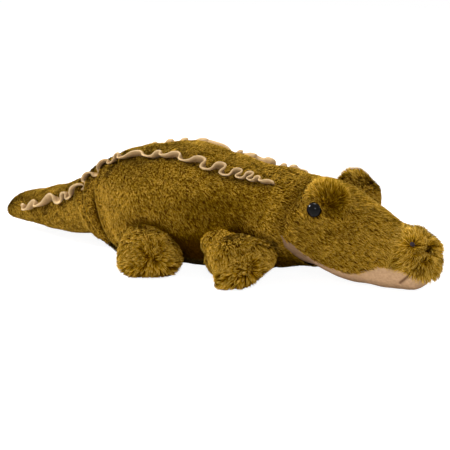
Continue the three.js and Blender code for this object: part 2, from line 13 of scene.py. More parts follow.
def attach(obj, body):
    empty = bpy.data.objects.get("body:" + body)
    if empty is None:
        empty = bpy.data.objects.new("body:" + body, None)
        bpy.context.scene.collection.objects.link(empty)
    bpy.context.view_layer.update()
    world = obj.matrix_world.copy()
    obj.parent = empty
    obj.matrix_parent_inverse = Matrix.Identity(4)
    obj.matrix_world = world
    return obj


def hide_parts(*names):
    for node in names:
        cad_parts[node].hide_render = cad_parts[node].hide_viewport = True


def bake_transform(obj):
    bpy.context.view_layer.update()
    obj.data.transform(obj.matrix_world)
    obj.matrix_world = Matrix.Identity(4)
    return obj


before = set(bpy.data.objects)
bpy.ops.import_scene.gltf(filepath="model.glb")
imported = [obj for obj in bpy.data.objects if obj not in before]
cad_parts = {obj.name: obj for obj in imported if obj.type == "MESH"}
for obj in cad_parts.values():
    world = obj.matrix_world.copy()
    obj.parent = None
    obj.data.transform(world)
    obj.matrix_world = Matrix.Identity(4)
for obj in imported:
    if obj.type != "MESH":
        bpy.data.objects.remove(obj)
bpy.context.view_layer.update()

mm = 0.001

# Camera. It stands in front of the toy's right side, a little above it, with a long lens, as the
# photographer's did. The origin of the toy lies left of the picture's middle and below it.
view_azimuth = math.radians(30)
view_elevation = math.radians(14)
camera_distance = 1.17
origin_pixel = (195, 254)
picture_pixels = 450
lens_mm, sensor_mm = 85, 36
view_back = Vector((
    math.sin(view_azimuth) * math.cos(view_elevation),
    -math.cos(view_azimuth) * math.cos(view_elevation),
    math.sin(view_elevation),
))
view_right = Vector((math.cos(view_azimuth), math.sin(view_azimuth), 0))
view_up = view_back.cross(view_right)
metres_per_pixel = camera_distance * sensor_mm / lens_mm / picture_pixels
shift_right = (origin_pixel[0] - picture_pixels / 2) * metres_per_pixel
shift_up = (picture_pixels / 2 - origin_pixel[1]) * metres_per_pixel
camera = bpy.data.objects.new("camera", bpy.data.cameras.new("camera"))
camera.data.lens = lens_mm
camera.data.sensor_width = sensor_mm
camera.location = view_back * camera_distance - view_right * shift_right - view_up * shift_up
camera.rotation_mode = "QUATERNION"
camera.rotation_quaternion = (-view_back).to_track_quat("-Z", "Y")
bpy.context.scene.collection.objects.link(camera)
bpy.context.scene.camera = camera

# Studio. A soft lamp above and to the left, weaker ones from the right, above and behind, and light from
# all round. The camera sees the world and most of the floor as white; the floor keeps the shadow.
bpy.context.scene.view_settings.view_transform = "Standard"


def add_lamp(name, place, size, power):
    lamp = bpy.data.lights.new(name, "AREA")
    lamp.shape = "SQUARE"
    lamp.size = size
    lamp.energy = power
    holder = bpy.data.objects.new(name, lamp)
    holder.location = place
    holder.rotation_mode = "QUATERNION"
    holder.rotation_quaternion = (Vector((0, 0, 0.05)) - Vector(place)).to_track_quat("-Z", "Y")
    bpy.context.scene.collection.objects.link(holder)


add_lamp("key_lamp", (-1.35, -0.6, 1.15), 0.34, 54)
add_lamp("fill_lamp", (0.95, -1.25, 0.75), 0.35, 7)
add_lamp("top_lamp", (0.1, 0.3, 1.7), 0.8, 34)
add_lamp("rim_lamp", (1.35, 0.75, 0.85), 0.6, 6)


def any_ray(tree, rays):
    """1 for camera, glossy and transmission rays, so that a mirror or a clear part shows what the camera sees."""
    total = rays.outputs["Is Camera Ray"]
    for kind in ("Is Glossy Ray", "Is Transmission Ray"):
        larger = tree.nodes.new("ShaderNodeMath")
        larger.operation = "MAXIMUM"
        tree.links.new(total, larger.inputs[0])
        tree.links.new(rays.outputs[kind], larger.inputs[1])
        total = larger.outputs["Value"]
    return total


world = bpy.data.worlds.new("studio")
bpy.context.scene.world = world
world.use_nodes = True
sky = world.node_tree.nodes["Background"]
sky.inputs["Color"].default_value = (1, 1, 1, 1)
sky.inputs["Strength"].default_value = 0.36
seen_sky = world.node_tree.nodes.new("ShaderNodeBackground")
seen_sky.inputs["Color"].default_value = (1, 1, 1, 1)
seen_sky.inputs["Strength"].default_value = 1.0
ray_kind = world.node_tree.nodes.new("ShaderNodeLightPath")
sky_mix = world.node_tree.nodes.new("ShaderNodeMixShader")
seen_share = any_ray(world.node_tree, ray_kind)
world.node_tree.links.new(seen_share, sky_mix.inputs["Fac"])
world.node_tree.links.new(sky.outputs["Background"], sky_mix.inputs[1])
world.node_tree.links.new(seen_sky.outputs["Background"], sky_mix.inputs[2])
world.node_tree.links.new(sky_mix.outputs["Shader"], world.node_tree.nodes["World Output"].inputs["Surface"])

floor_shape = bmesh.new()
bmesh.ops.create_grid(floor_shape, x_segments=1, y_segments=1, size=6)
floor_mesh = bpy.data.meshes.new("floor")
floor_shape.to_mesh(floor_mesh)
floor_shape.free()
floor = bpy.data.objects.new("floor", floor_mesh)
floor.location.z = -0.0005
bpy.context.scene.collection.objects.link(floor)
floor_paint = bpy.data.materials.new("floor_white")
floor_paint.use_nodes = True
paint = floor_paint.node_tree.nodes
matt = paint["Principled BSDF"]
matt.inputs["Base Color"].default_value = (0.92, 0.92, 0.92, 1)
matt.inputs["Roughness"].default_value = 1.0
matt.inputs["Specular IOR Level"].default_value = 0.0
glow = paint.new("ShaderNodeEmission")
glow.inputs["Strength"].default_value = 1.3
floor_ray = paint.new("ShaderNodeLightPath")
share = paint.new("ShaderNodeMath")
share.operation = "MULTIPLY"
share.inputs[1].default_value = 0.72
floor_mix = paint.new("ShaderNodeMixShader")
floor_paint.node_tree.links.new(any_ray(floor_paint.node_tree, floor_ray), share.inputs[0])
floor_paint.node_tree.links.new(share.outputs["Value"], floor_mix.inputs["Fac"])
floor_paint.node_tree.links.new(matt.outputs["BSDF"], floor_mix.inputs[1])
floor_paint.node_tree.links.new(glow.outputs["Emission"], floor_mix.inputs[2])
floor_paint.node_tree.links.new(floor_mix.outputs["Shader"], paint["Material Output"].inputs["Surface"])
floor_mesh.materials.append(floor_paint)

# Stuffed skin. The cloth backing of the whole toy before the fur goes on: a long form from the tail tip
# to the nose, four legs and two brows, which the stuffing fills out to one soft surface. Later sections
# cut it along the seams into the covers and panels.
spine_rows = np.array([  # place along X, half width, top, underside
    [-258, 12, 30, 14],
    [-248, 16, 38, 14],
    [-233, 21, 45, 13],
    [-214, 26, 49, 12],
    [-195, 31, 54, 11],
    [-176, 36, 58, 10],
    [-156, 41, 65, 8],
    [-140, 45, 74, 9],
    [-125, 48, 83, 12],
    [-108, 53, 94, 12],
    [-90, 64, 104, 7],
    [-75, 69, 109, 0],
    [-60, 73, 113, -4],
    [-30, 77, 119, -5],
    [0, 79, 122, -5],
    [30, 79, 121, -5],
    [55, 75, 115, -5],
    [75, 67, 109, -5],
    [95, 59, 104, 1],
    [112, 56, 103, 4.5],
    [130, 56, 98, 8.5],
    [150, 53, 95.5, 8],
    [169, 48, 89, 3],
    [190, 42, 85, 0],
    [210, 36, 77, -1],
    [230, 31, 65, -2],
    [245, 29, 56, -2],
    [260, 30, 58, -2],
    [274, 27, 58, 1],
], float)
tail_end_x, nose_end_x = -264, 274.5
tail_end_reach, nose_end_reach = 16, 22
squareness = 0.93  # below 1 the cross section is a little fuller than an ellipse


def spine_section(x):
    """Half width, middle height and half height of the spine form at places along X, in millimetres."""
    fine = np.arange(tail_end_x - 20, nose_end_x + 20, 1.0)
    window = np.hanning(19)
    window /= window.sum()
    columns = []
    for column in (1, 2, 3):
        values = np.interp(fine, spine_rows[:, 0], spine_rows[:, column])
        soft = np.convolve(np.pad(values, 9, mode="edge"), window, mode="valid")
        columns.append(np.interp(x, fine, soft))
    width, top, bottom = columns
    from_tail = np.clip((x - tail_end_x) / tail_end_reach, 0, 1)
    from_nose = np.clip((nose_end_x - x) / nose_end_reach, 0, 1)
    cap = np.sqrt(1 - (1 - from_tail) ** 2) * np.sqrt(1 - (1 - from_nose) ** 2)
    return width * cap, (top + bottom) / 2, (top - bottom) / 2 * cap


def rounded(share, power=squareness):
    return np.sign(share) * np.abs(share) ** power


def add_form(skin, around, along, place_point):
    """A ball whose rings are laid along a form. place_point takes the place from 0 to 1 and the angle."""
    ball = bmesh.ops.create_uvsphere(skin, u_segments=around, v_segments=along, radius=1)
    for vert in ball["verts"]:
        place = math.acos(max(-1, min(1, -vert.co.z))) / math.pi
        vert.co = Vector(place_point(place, math.atan2(vert.co.y, vert.co.x))) * mm


skin = bmesh.new()
spine_places = np.linspace(0, 1, 161)
spine_table = np.array(spine_section(tail_end_x + spine_places * (nose_end_x - tail_end_x))).T


def spine_point(place, angle):
    width, middle, high = (np.interp(place, spine_places, spine_table[:, k]) for k in range(3))
    x = tail_end_x + place * (nose_end_x - tail_end_x)
    return x, width * rounded(math.cos(angle)), middle + high * rounded(math.sin(angle))


add_form(skin, 48, 140, spine_point)
body_tree = BVHTree.FromBMesh(skin)
limbs = bmesh.new()

leg_rows = np.array([  # distance from the root, half width, top, underside
    [-14, 18, 42, 8],
    [0, 24, 48, 3],
    [12, 26, 50, 0],
    [26, 29, 50, -1],
    [38, 31, 47, -2],
    [47, 30, 43, -1],
    [53, 27, 39, 2],
], float)
leg_start, leg_end, toe_reach = -16, 53, 14
leg_squareness = 0.78
legs = {  # body name: root's X and Y, degrees forward of square to the side, tilt and slide of the foot
    "hind_leg_right": (-20, -63, 38, 0.04, -0.02),
    "hind_leg_left": (-20, 63, 38, 0.04, -0.02),
    "front_leg_right": (74, -54, 44, 0.68, 0.28),
    "front_leg_left": (74, 54, 44, 0.68, 0.28),
}
upper_legs = {"hind": ((-34, -58, 34), (26, 21, 20)), "front": ((72, -62, 38), (22, 21, 17))}


def leg_axes(name):
    """Root, outward direction and sideways direction of a leg, as flat vectors in millimetres."""
    x, y, heading = legs[name][:3]
    side = math.copysign(1, y)
    turn = math.radians(heading)
    out = np.array([math.sin(turn), side * math.cos(turn), 0])
    return np.array([x, y, 0.0]), out, np.array([-out[1], out[0], 0])


for leg_name in legs:
    root, out, across = leg_axes(leg_name)

    def leg_point(place, angle):
        s = leg_start + place * (leg_end - leg_start)
        width, top, bottom = (np.interp(s, leg_rows[:, 0], leg_rows[:, k]) for k in (1, 2, 3))
        to_toe = min((leg_end - s) / toe_reach, 1)
        from_root = min((s - leg_start) / toe_reach, 1)
        cap = math.sqrt(max(0, 1 - (1 - to_toe) ** 2)) * math.sqrt(max(0, 1 - (1 - from_root) ** 2))
        fullness = leg_squareness if math.sin(angle) < 0 else 1.0
        sideways = width * cap * rounded(math.cos(angle), fullness)
        spot = root + out * s + across * sideways
        spot[2] = (top + bottom) / 2 + (top - bottom) / 2 * cap * rounded(math.sin(angle), fullness)
        ahead = math.copysign(1, -root[1])
        tilt, slide = legs[leg_name][3:]
        in_foot = min(max((s - 16) / 20, 0), 1)
        in_leg = min(max((s - 6) / 16, 0), 1)
        spot[2] += tilt * (ahead * sideways + 6) * in_foot * (0.5 - 0.5 * math.sin(angle))
        return spot + across * ahead * slide * 30 * min(max(36 - spot[2], 0) / 14, 1) * in_leg

    add_form(limbs, 32, 24, leg_point)
    thigh, thigh_half = (np.array(size, float) for size in upper_legs[leg_name.split("_")[0]])
    thigh[1] = math.copysign(thigh[1], root[1])

    def thigh_point(place, angle):
        ring = math.sin(place * math.pi)
        return thigh + thigh_half * np.array([math.cos(angle) * ring, math.sin(angle) * ring, -math.cos(place * math.pi)])

    add_form(skin, 24, 16, thigh_point)

limb_tree = BVHTree.FromBMesh(limbs)
limb_mesh = bpy.data.meshes.new("limbs")
limbs.to_mesh(limb_mesh)
limbs.free()
skin.from_mesh(limb_mesh)
bpy.data.meshes.remove(limb_mesh)


def limb_crease(spot):
    """1 where a leg meets the body, and 0 further than some millimetres from there."""
    away = (body_tree.find_nearest(spot)[3] + limb_tree.find_nearest(spot)[3]) / mm
    return math.exp(-(away / 6.5) ** 2)


brow_middle = np.array([170, -35, 80])
brow_half = np.array([25, 18, 23])
for side in (-1, 1):
    middle = brow_middle * np.array([1, -side, 1]) + np.array([1.5, 3.5, -1.8]) * (1 + side)

    def brow_point(place, angle):
        ring = math.sin(place * math.pi)
        ball = np.array([math.cos(angle) * ring, math.sin(angle) * ring, -math.cos(place * math.pi)])
        return middle + brow_half * ball

    add_form(skin, 28, 18, brow_point)

bmesh.ops.recalc_face_normals(skin, faces=skin.faces)
skin_mesh = bpy.data.meshes.new("skin")
skin.to_mesh(skin_mesh)
skin.free()
skin_holder = bpy.data.objects.new("skin", skin_mesh)
bpy.context.scene.collection.objects.link(skin_holder)
weld = skin_holder.modifiers.new("weld", "REMESH")
weld.mode = "VOXEL"
weld.voxel_size = 2.6 * mm
ease = skin_holder.modifiers.new("ease", "SMOOTH")
ease.factor = 0.5
ease.iterations = 9
bpy.context.view_layer.update()
eased = bpy.data.meshes.new_from_object(skin_holder.evaluated_get(bpy.context.evaluated_depsgraph_get()))
bpy.data.objects.remove(skin_holder)

# Folds. Where the toy bends or a leg is sewn in, the cloth is pulled in along a line and swells beside
# it. Two folds run down each side of the tail's root, one down each side of the neck, and one round each leg.
skin = bmesh.new()
skin.from_mesh(eased)
bmesh.ops.recalc_face_normals(skin, faces=skin.faces)
skin.verts.ensure_lookup_table()
points = np.array([v.co for v in skin.verts]) / mm
skin.normal_update()
normals = np.array([v.normal for v in skin.verts])


jaw_seam = np.array([  # place along X and height of the jaw's seam at the side
    [133, 51], [137, 48], [142, 45], [147, 41], [152, 37], [158, 32], [166, 28], [182, 21], [194, 17],
    [206, 18], [219, 24], [231, 28], [244, 29], [252, 28], [257, 25], [264, 20], [272, 15], [284, 12],
], float)


def jaw_cloth_height(x):
    return np.interp(x, jaw_seam[:, 0], jaw_seam[:, 1])


def line_distance(xz, line):
    """Distance of points from a broken line, both in a plane."""
    nearest = np.full(len(xz), np.inf)
    for start, end in zip(line[:-1], line[1:]):
        start, run = np.array(start, float), np.array(end, float) - np.array(start, float)
        t = np.clip(((xz - start) @ run) / (run @ run), 0, 1)
        nearest = np.minimum(nearest, np.linalg.norm(xz - start - t[:, None] * run, axis=1))
    return nearest


def fold(line, depth, reach, mask):
    """Pulls the skin in along a line drawn on the side view, and lets it swell a little on both sides."""
    away = line_distance(points[:, [0, 2]], line) / reach
    move = -depth * np.exp(-away ** 2) + 0.45 * depth * np.exp(-((away - 2.1) / 0.9) ** 2)
    points[:] += normals * (move * mask)[:, None]


on_side = np.clip((np.abs(points[:, 1]) - 12) / 20, 0, 1)
tail_folds = (
    [(-124, 88), (-114, 68), (-107, 58), (-100, 48), (-91, 32), (-80, 10)],
    [(-104, 99), (-98, 88), (-91, 72), (-84, 53), (-78, 34), (-66, 8)],
)
fold(tail_folds[0], 8.0, 4.2, on_side)
fold(tail_folds[1], 7.0, 4.0, on_side)
cheek_fold = [(131, 44), (133, 56), (135, 68), (137, 78), (141, 90)]
fold(cheek_fold, 3.0, 4.5, on_side)
points -= normals * np.array([3.6 * limb_crease(Vector(spot) * mm) for spot in points])[:, None]
slow = np.array([noise.noise(Vector(spot) / 34 + Vector((3.1, 7.7, 1.9))) for spot in points])
points += normals * (2.2 * slow)[:, None]
lumps = np.array([noise.noise(Vector(spot) / 17 + Vector((8.3, 2.2, 5.1))) for spot in points])
points += normals * (1.0 * lumps)[:, None]


def dent(spot, reach, depth):
    for side in (-1, 1):
        middle = np.array(spot) * np.array([1, side, 1])
        away = np.linalg.norm(points - middle, axis=1) / reach
        points[:] -= normals * (depth * np.exp(-away ** 2))[:, None]


under = np.clip((jaw_cloth_height(points[:, 0]) - points[:, 2]) / 18, 0, 1)
under *= np.exp(-((points[:, 0] - 150) / 30) ** 2)
points[:, 1] *= 1 - 0.25 * under
points[:, 2] += 3 * under
dent((-4, 70, 72), 16, 2.5)
dent((58, 68, 60), 10, 4)
dent((104, 44, 66), 12, 3)
dent((196, 38, 76), 9, 2.5)
dent((182, 47, 85), 8, 4.5)
dent((170, 17, 90), 16, -5)
dent((251, 14, 56), 9, -2)
dent((264, 6, 54), 6, 4)
dent((238, 24, 50), 9, 1.5)

far_back = np.clip((points[:, 1] + 5) / 30, 0, 1) * np.clip((points[:, 2] - 60) / 30, 0, 1)
far_drop = np.interp(points[:, 0], [-120, -70, -20, 0, 12, 26, 42, 66, 96, 116, 135], [0, -3, -2, 0, 3, 8, 9, 5, -1, -1, 0])
points[:, 2] -= far_back * far_drop

lowest_cloth = 1.6  # the backing lies this far above the floor, on its pressed pile
points[:, 2] = np.where(points[:, 2] < lowest_cloth, lowest_cloth, points[:, 2])
for vert, spot in zip(skin.verts, points):
    vert.co = Vector(spot) * mm
skin.normal_update()
normals = np.array([v.normal for v in skin.verts])
surface = BVHTree.FromBMesh(skin)

# Seams. Each patch of the skin belongs to one sewn piece. The jaw's seam shows, because the beige cloth
# meets the fur there, so the skin's edges that cross it are cut at it and joined along it.
jaw_start_x, jaw_start_z, jaw_start_slope = 132, 36, 0.6
tail_seam = np.array([[-270, 24], [-214, 29], [-193, 35], [-180, 43], [-163, 55], [-147, 61], [-120, 80]], float)
neck_x, tail_x = 112, -118
back_seam_y, back_seam_z, belly_seam_z = 39, 56, 17


def in_jaw(spot):
    """Millimetres inside the jaw's patch, or outside it where negative."""
    x, y, z = spot
    return min(float(jaw_cloth_height(x)) - z, x - jaw_start_x - max(jaw_start_z - z, 0) * jaw_start_slope)


on_seam = []
for edge in list(skin.edges):
    start, end = edge.verts
    if max(start.co.x, end.co.x) > 0.12:
        inside, outside = in_jaw(start.co / mm), in_jaw(end.co / mm)
        if inside * outside < 0 and min(abs(inside), abs(outside)) > 0.05:
            on_seam.append(bmesh.utils.edge_split(edge, start, inside / (inside - outside))[1])
bmesh.ops.connect_verts(skin, verts=on_seam, check_degenerate=True)
skin.verts.index_update()
skin.normal_update()
normals = np.array([v.normal for v in skin.verts])


def piece_of(spot):
    """The sewn piece that a point of the skin belongs to, as the node's name."""
    x, y, z = spot
    side = "left" if y > 0 else "right"
    width, middle, high = (np.interp(x, spine_x, spine_table[:, k]) for k in range(3))
    outside = math.hypot(y / max(width, 1), (z - middle) / max(high, 1))
    for name in legs:
        if name.endswith(side):
            root, out, across = leg_axes(name)
            along = (np.array([x, y, 0]) - root) @ out
            off = abs((np.array([x, y, 0]) - root) @ across)
            if along > 2 and off < 38 and z < 60 and outside > 1.05:
                return name.replace("_leg_", "_leg_cover_")
    if x < tail_x:
        return "tail_top_panel" if z > np.interp(x, tail_seam[:, 0], tail_seam[:, 1]) else "tail_under_panel"
    if x > neck_x:
        middle = brow_middle * np.array([1, -1, 1]) + np.array([3, 7, -3.6]) if y > 0 else brow_middle
        brow = np.linalg.norm((np.array([x, y, z]) - middle) / (brow_half + 1.5))
        if brow < 1 and outside > 1.01:
            return f"brow_cover_{side}"
        return "jaw_panel" if in_jaw(spot) > 0 else "head_cover"
    if z < belly_seam_z:
        return "belly_panel"
    if abs(y) < back_seam_y and z > back_seam_z:
        return "back_panel"
    return f"side_panel_{side}"


spine_x = tail_end_x + spine_places * (nose_end_x - tail_end_x)
skin.faces.ensure_lookup_table()
face_piece = [piece_of(face.calc_center_median() / mm) for face in skin.faces]
piece_names = sorted(set(face_piece))
skin.verts.index_update()


def cut_piece(name):
    """The patch of skin of one sewn piece, as triangles of corner indices."""
    corners = []
    for face, piece in zip(skin.faces, face_piece):
        if piece == name:
            ring = [vert.index for vert in face.verts]
            corners += [(ring[0], ring[k], ring[k + 1]) for k in range(1, len(ring) - 1)]
    return np.array(corners)


skin_points = np.array([v.co for v in skin.verts])
skin_creases = np.array([limb_crease(v.co) for v in skin.verts])

# Fur. Golden olive pile: every strand is a narrow blade of cloth fibre, darker at its root, that leans
# with the nap and gathers with its neighbours into small tufts. Strands and backing are one piece.
pile_group = bpy.data.node_groups.new("pile_colour", "ShaderNodeTree")
for name, kind in (("Shade", "NodeSocketFloat"), ("Along", "NodeSocketFloat"), ("Root", "NodeSocketColor"),
                   ("Middle", "NodeSocketColor"), ("Tip", "NodeSocketColor")):
    pile_group.interface.new_socket(name, in_out="INPUT", socket_type=kind)
pile_group.interface.new_socket("Colour", in_out="OUTPUT", socket_type="NodeSocketColor")
inside = pile_group.nodes
entry, exit_node = inside.new("NodeGroupInput"), inside.new("NodeGroupOutput")


def ramp_between(nodes, links, low, high, value):
    ramp = nodes.new("ShaderNodeMapRange")
    ramp.interpolation_type = "SMOOTHSTEP"
    ramp.inputs["From Min"].default_value = low
    ramp.inputs["From Max"].default_value = high
    links.new(value, ramp.inputs["Value"])
    return ramp.outputs["Result"]


def mix_colours(nodes, links, factor, first, second, blend="MIX"):
    mix = nodes.new("ShaderNodeMix")
    mix.data_type = "RGBA"
    mix.blend_type = blend
    links.new(factor, mix.inputs["Factor"])
    links.new(first, mix.inputs["A"])
    links.new(second, mix.inputs["B"])
    return mix.outputs["Result"]


lower = mix_colours(inside, pile_group.links, ramp_between(inside, pile_group.links, 0.05, 0.55, entry.outputs["Along"]),
                    entry.outputs["Root"], entry.outputs["Middle"])
whole = mix_colours(inside, pile_group.links, ramp_between(inside, pile_group.links, 0.5, 1.0, entry.outputs["Along"]),
                    lower, entry.outputs["Tip"])
lightness = inside.new("ShaderNodeVectorMath")  # dark strands are redder, pale ones greyer
lightness.operation = "MULTIPLY_ADD"
lightness.inputs[1].default_value = (1.72, 1.80, 3.00)
lightness.inputs[2].default_value = (0.15, 0.10, -0.50)
pile_group.links.new(entry.outputs["Shade"], lightness.inputs[0])
above_black = inside.new("ShaderNodeVectorMath")
above_black.operation = "MAXIMUM"
pile_group.links.new(lightness.outputs["Vector"], above_black.inputs[0])
shaded = inside.new("ShaderNodeVectorMath")
shaded.operation = "MULTIPLY"
pile_group.links.new(whole, shaded.inputs[0])
pile_group.links.new(above_black.outputs["Vector"], shaded.inputs[1])
pile_group.links.new(shaded.outputs["Vector"], exit_node.inputs["Colour"])


def pile_material(name, root_colour, middle_colour, tip_colour):
    material = bpy.data.materials.new(name)
    material.use_nodes = True
    nodes, links = material.node_tree.nodes, material.node_tree.links
    shader = nodes["Principled BSDF"]
    shader.inputs["Roughness"].default_value = 0.7
    shader.inputs["Specular IOR Level"].default_value = 0.0
    place = nodes.new("ShaderNodeUVMap")
    place.uv_map = "OFBake"
    split = nodes.new("ShaderNodeSeparateXYZ")
    links.new(place.outputs["UV"], split.inputs["Vector"])
    pile = nodes.new("ShaderNodeGroup")
    pile.node_tree = pile_group
    links.new(split.outputs["X"], pile.inputs["Shade"])
    links.new(split.outputs["Y"], pile.inputs["Along"])
    pile.inputs["Root"].default_value = (*root_colour, 1)
    pile.inputs["Middle"].default_value = (*middle_colour, 1)
    pile.inputs["Tip"].default_value = (*tip_colour, 1)
    links.new(pile.outputs["Colour"], shader.inputs["Base Color"])
    geometry = nodes.new("ShaderNodeNewGeometry")
    turned = nodes.new("ShaderNodeMath")
    turned.operation = "MULTIPLY_ADD"
    turned.inputs[1].default_value = -2
    turned.inputs[2].default_value = 1
    links.new(geometry.outputs["Backfacing"], turned.inputs[0])
    outward = nodes.new("ShaderNodeVectorMath")
    outward.operation = "SCALE"
    links.new(geometry.outputs["Normal"], outward.inputs[0])
    links.new(turned.outputs["Value"], outward.inputs["Scale"])
    links.new(outward.outputs["Vector"], shader.inputs["Normal"])
    return material


fur_material = pile_material("olive_fur", (0.070, 0.030, 0.001), (0.222, 0.108, 0.002), (0.43, 0.260, 0.036))
# Very dark: partly the belly's own darker pile, partly painted shade of the underside.
belly_material = pile_material("belly_pile", (0.016, 0.010, 0.002), (0.042, 0.025, 0.004), (0.075, 0.048, 0.009))


def drift(spots, size, seed):
    """A smooth wandering vector at each point, for patches of about this size in millimetres."""
    offset = Vector((seed * 17.3, seed * 5.7, seed * 11.1))
    return np.array([noise.noise_vector(Vector(spot) / (size * mm) + offset) for spot in spots])


def unit(vectors):
    return vectors / np.maximum(np.linalg.norm(vectors, axis=1, keepdims=True), 1e-9)


eye_spots = {"right": (167, -50, 80), "left": (172, 54, 82)}
nostril_spots = {"right": (256, -19, 47), "left": (254, 18, 51)}
bare_spots = [(spot, 7.0) for spot in eye_spots.values()] + [(spot, 2.6) for spot in nostril_spots.values()]


def grow_fur(corners, nap, density, spacing, lie, seed):
    """Strands on a patch of skin, gathered into tufts that stand this many millimetres apart. nap gives
    each root's comb direction, length in millimetres, lean in degrees, width in millimetres, how far the
    tips draw together, and shade. Fine streaks run along lie. Returns points, shades and normals."""
    chance = np.random.default_rng(seed)
    a, b, c = (skin_points[corners[:, k]] for k in range(3))
    areas = np.linalg.norm(np.cross(b - a, c - a), axis=1) / 2
    total = np.cumsum(areas)

    def scatter(count):
        picked = np.minimum(np.searchsorted(total, chance.random(count) * total[-1]), len(corners) - 1)
        u, v = chance.random(count), chance.random(count)
        over = u + v > 1
        u[over], v[over] = 1 - u[over], 1 - v[over]
        spread = [1 - u - v, u, v]
        spots = sum(skin_points[corners[picked, k]] * spread[k][:, None] for k in range(3))
        facing = unit(sum(normals[corners[picked, k]] * spread[k][:, None] for k in range(3)))
        return spots, facing, sum(skin_creases[corners[picked, k]] * spread[k] for k in range(3))

    def grow(roots, facing, spread_out):
        count = len(roots)
        comb, length, lean, width, gather, shade = nap(roots / mm, facing, chance)
        comb = unit(comb + chance.normal(0, spread_out, (count, 3)))
        flat = unit(comb - facing * (comb * facing).sum(1, keepdims=True))
        lean = np.radians(lean + chance.normal(0, 25 * spread_out, count))
        first = facing * np.cos(lean)[:, None] + flat * np.sin(lean)[:, None]
        bent = lean + np.radians(24)
        second = facing * np.cos(bent)[:, None] + flat * np.sin(bent)[:, None]
        length = length * mm * chance.uniform(1 - 1.2 * spread_out, 1 + 0.4 * spread_out, count)
        middle = roots + first * (length * 0.5)[:, None]
        return middle, middle + second * (length * 0.5)[:, None], first, second, flat, width, gather, shade

    tufts, tuft_facing, tuft_crease = scatter(int(total[-1] / mm ** 2 / spacing ** 2))
    ripple = row_wave(tufts / mm)
    tuft_grown = grow(tufts, unit(tuft_facing + 0.06 * ripple[:, None] * np.array([0, 0, 1.0])), 0.16)
    # Each tuft's tone varies at random, and with the rows of the pile: painted light on their ridges, painted shade
    # between them.
    tuft_shade = chance.normal(0, 0.03, len(tufts)) + 0.03 * ripple
    nearest = KDTree(len(tufts))
    for index, spot in enumerate(tufts):
        nearest.insert(spot, index)
    nearest.balance()
    roots, facing, crease = scatter(int(total[-1] / mm ** 2 * density))
    free = np.ones(len(roots), bool)
    for spot, reach in bare_spots:
        free &= np.linalg.norm(roots - np.array(spot) * mm, axis=1) > reach * mm
    roots, facing, crease = roots[free], facing[free], crease[free]
    home = np.array([nearest.find(spot)[1] for spot in roots])
    middle, tip, first, second, flat, width, gather, shade = grow(roots, facing, 0.2)
    middle += (tuft_grown[0][home] - middle) * (0.42 * gather)[:, None]
    tip += (tuft_grown[1][home] - tip) * gather[:, None]
    count = len(roots)
    side = unit(np.cross(facing, flat))
    turn = chance.normal(0, 0.9, count)[:, None]
    blade = unit(side * np.cos(turn) + np.cross(first, side) * np.sin(turn))
    blade *= np.where((np.cross(blade, first) * facing).sum(1, keepdims=True) < 0, -1, 1)
    outward = unit(np.cross(blade, first))
    half = blade * (width * mm / 2)[:, None]
    verts = np.stack([roots - half, roots + half, middle + half * 0.8, middle - half * 0.8, tip], axis=1)
    verts[:, :, 2] = np.maximum(verts[:, :, 2], 0.3 * mm)
    soft = unit(facing * 0.5 + outward * 0.65 + chance.normal(0, 0.22, (count, 3)))
    light = unit(facing * 0.7 + outward * 0.3 + second * 0.4)
    shading = np.stack([soft, soft, soft, soft, light], axis=1)
    patchy = 0.06 * drift(roots, 12, 3)[:, 0] + 0.16 * drift(roots, 38, 4)[:, 0]
    lie = np.array(lie) / np.linalg.norm(lie)
    drawn_out = (roots - 0.8 * lie * (roots @ lie)[:, None]) / (0.9 * mm)
    streaks = np.array([noise.noise(Vector(spot)) for spot in drawn_out])
    # Painted shade where the legs meet the body.
    level = shade + tuft_shade[home] + patchy - 0.45 * crease
    uneven = 0.6 * streaks + chance.normal(0, 0.31, count)
    shade = np.clip(level + uneven * np.clip(level / 0.4, 0.25, 1), 0, 1)
    return verts, shade, shading


def row_wave(spots):
    """From -1 to 1: the short ridges, longer across the nap than along it, that the pile lies in."""
    width, middle, high = (np.interp(spots[:, 0], spine_x, spine_table[:, k]) for k in range(3))
    down = np.arctan2(np.abs(spots[:, 1]) / np.maximum(width, 1), (spots[:, 2] - middle) / np.maximum(high, 1))
    rows = np.stack([spots[:, 0] / 7.5, down * (width + high) / 2 / 3.4, np.sign(spots[:, 1]) * 9], axis=1)
    return np.clip(1.7 * np.array([noise.noise(Vector(row)) for row in rows]), -1, 1)


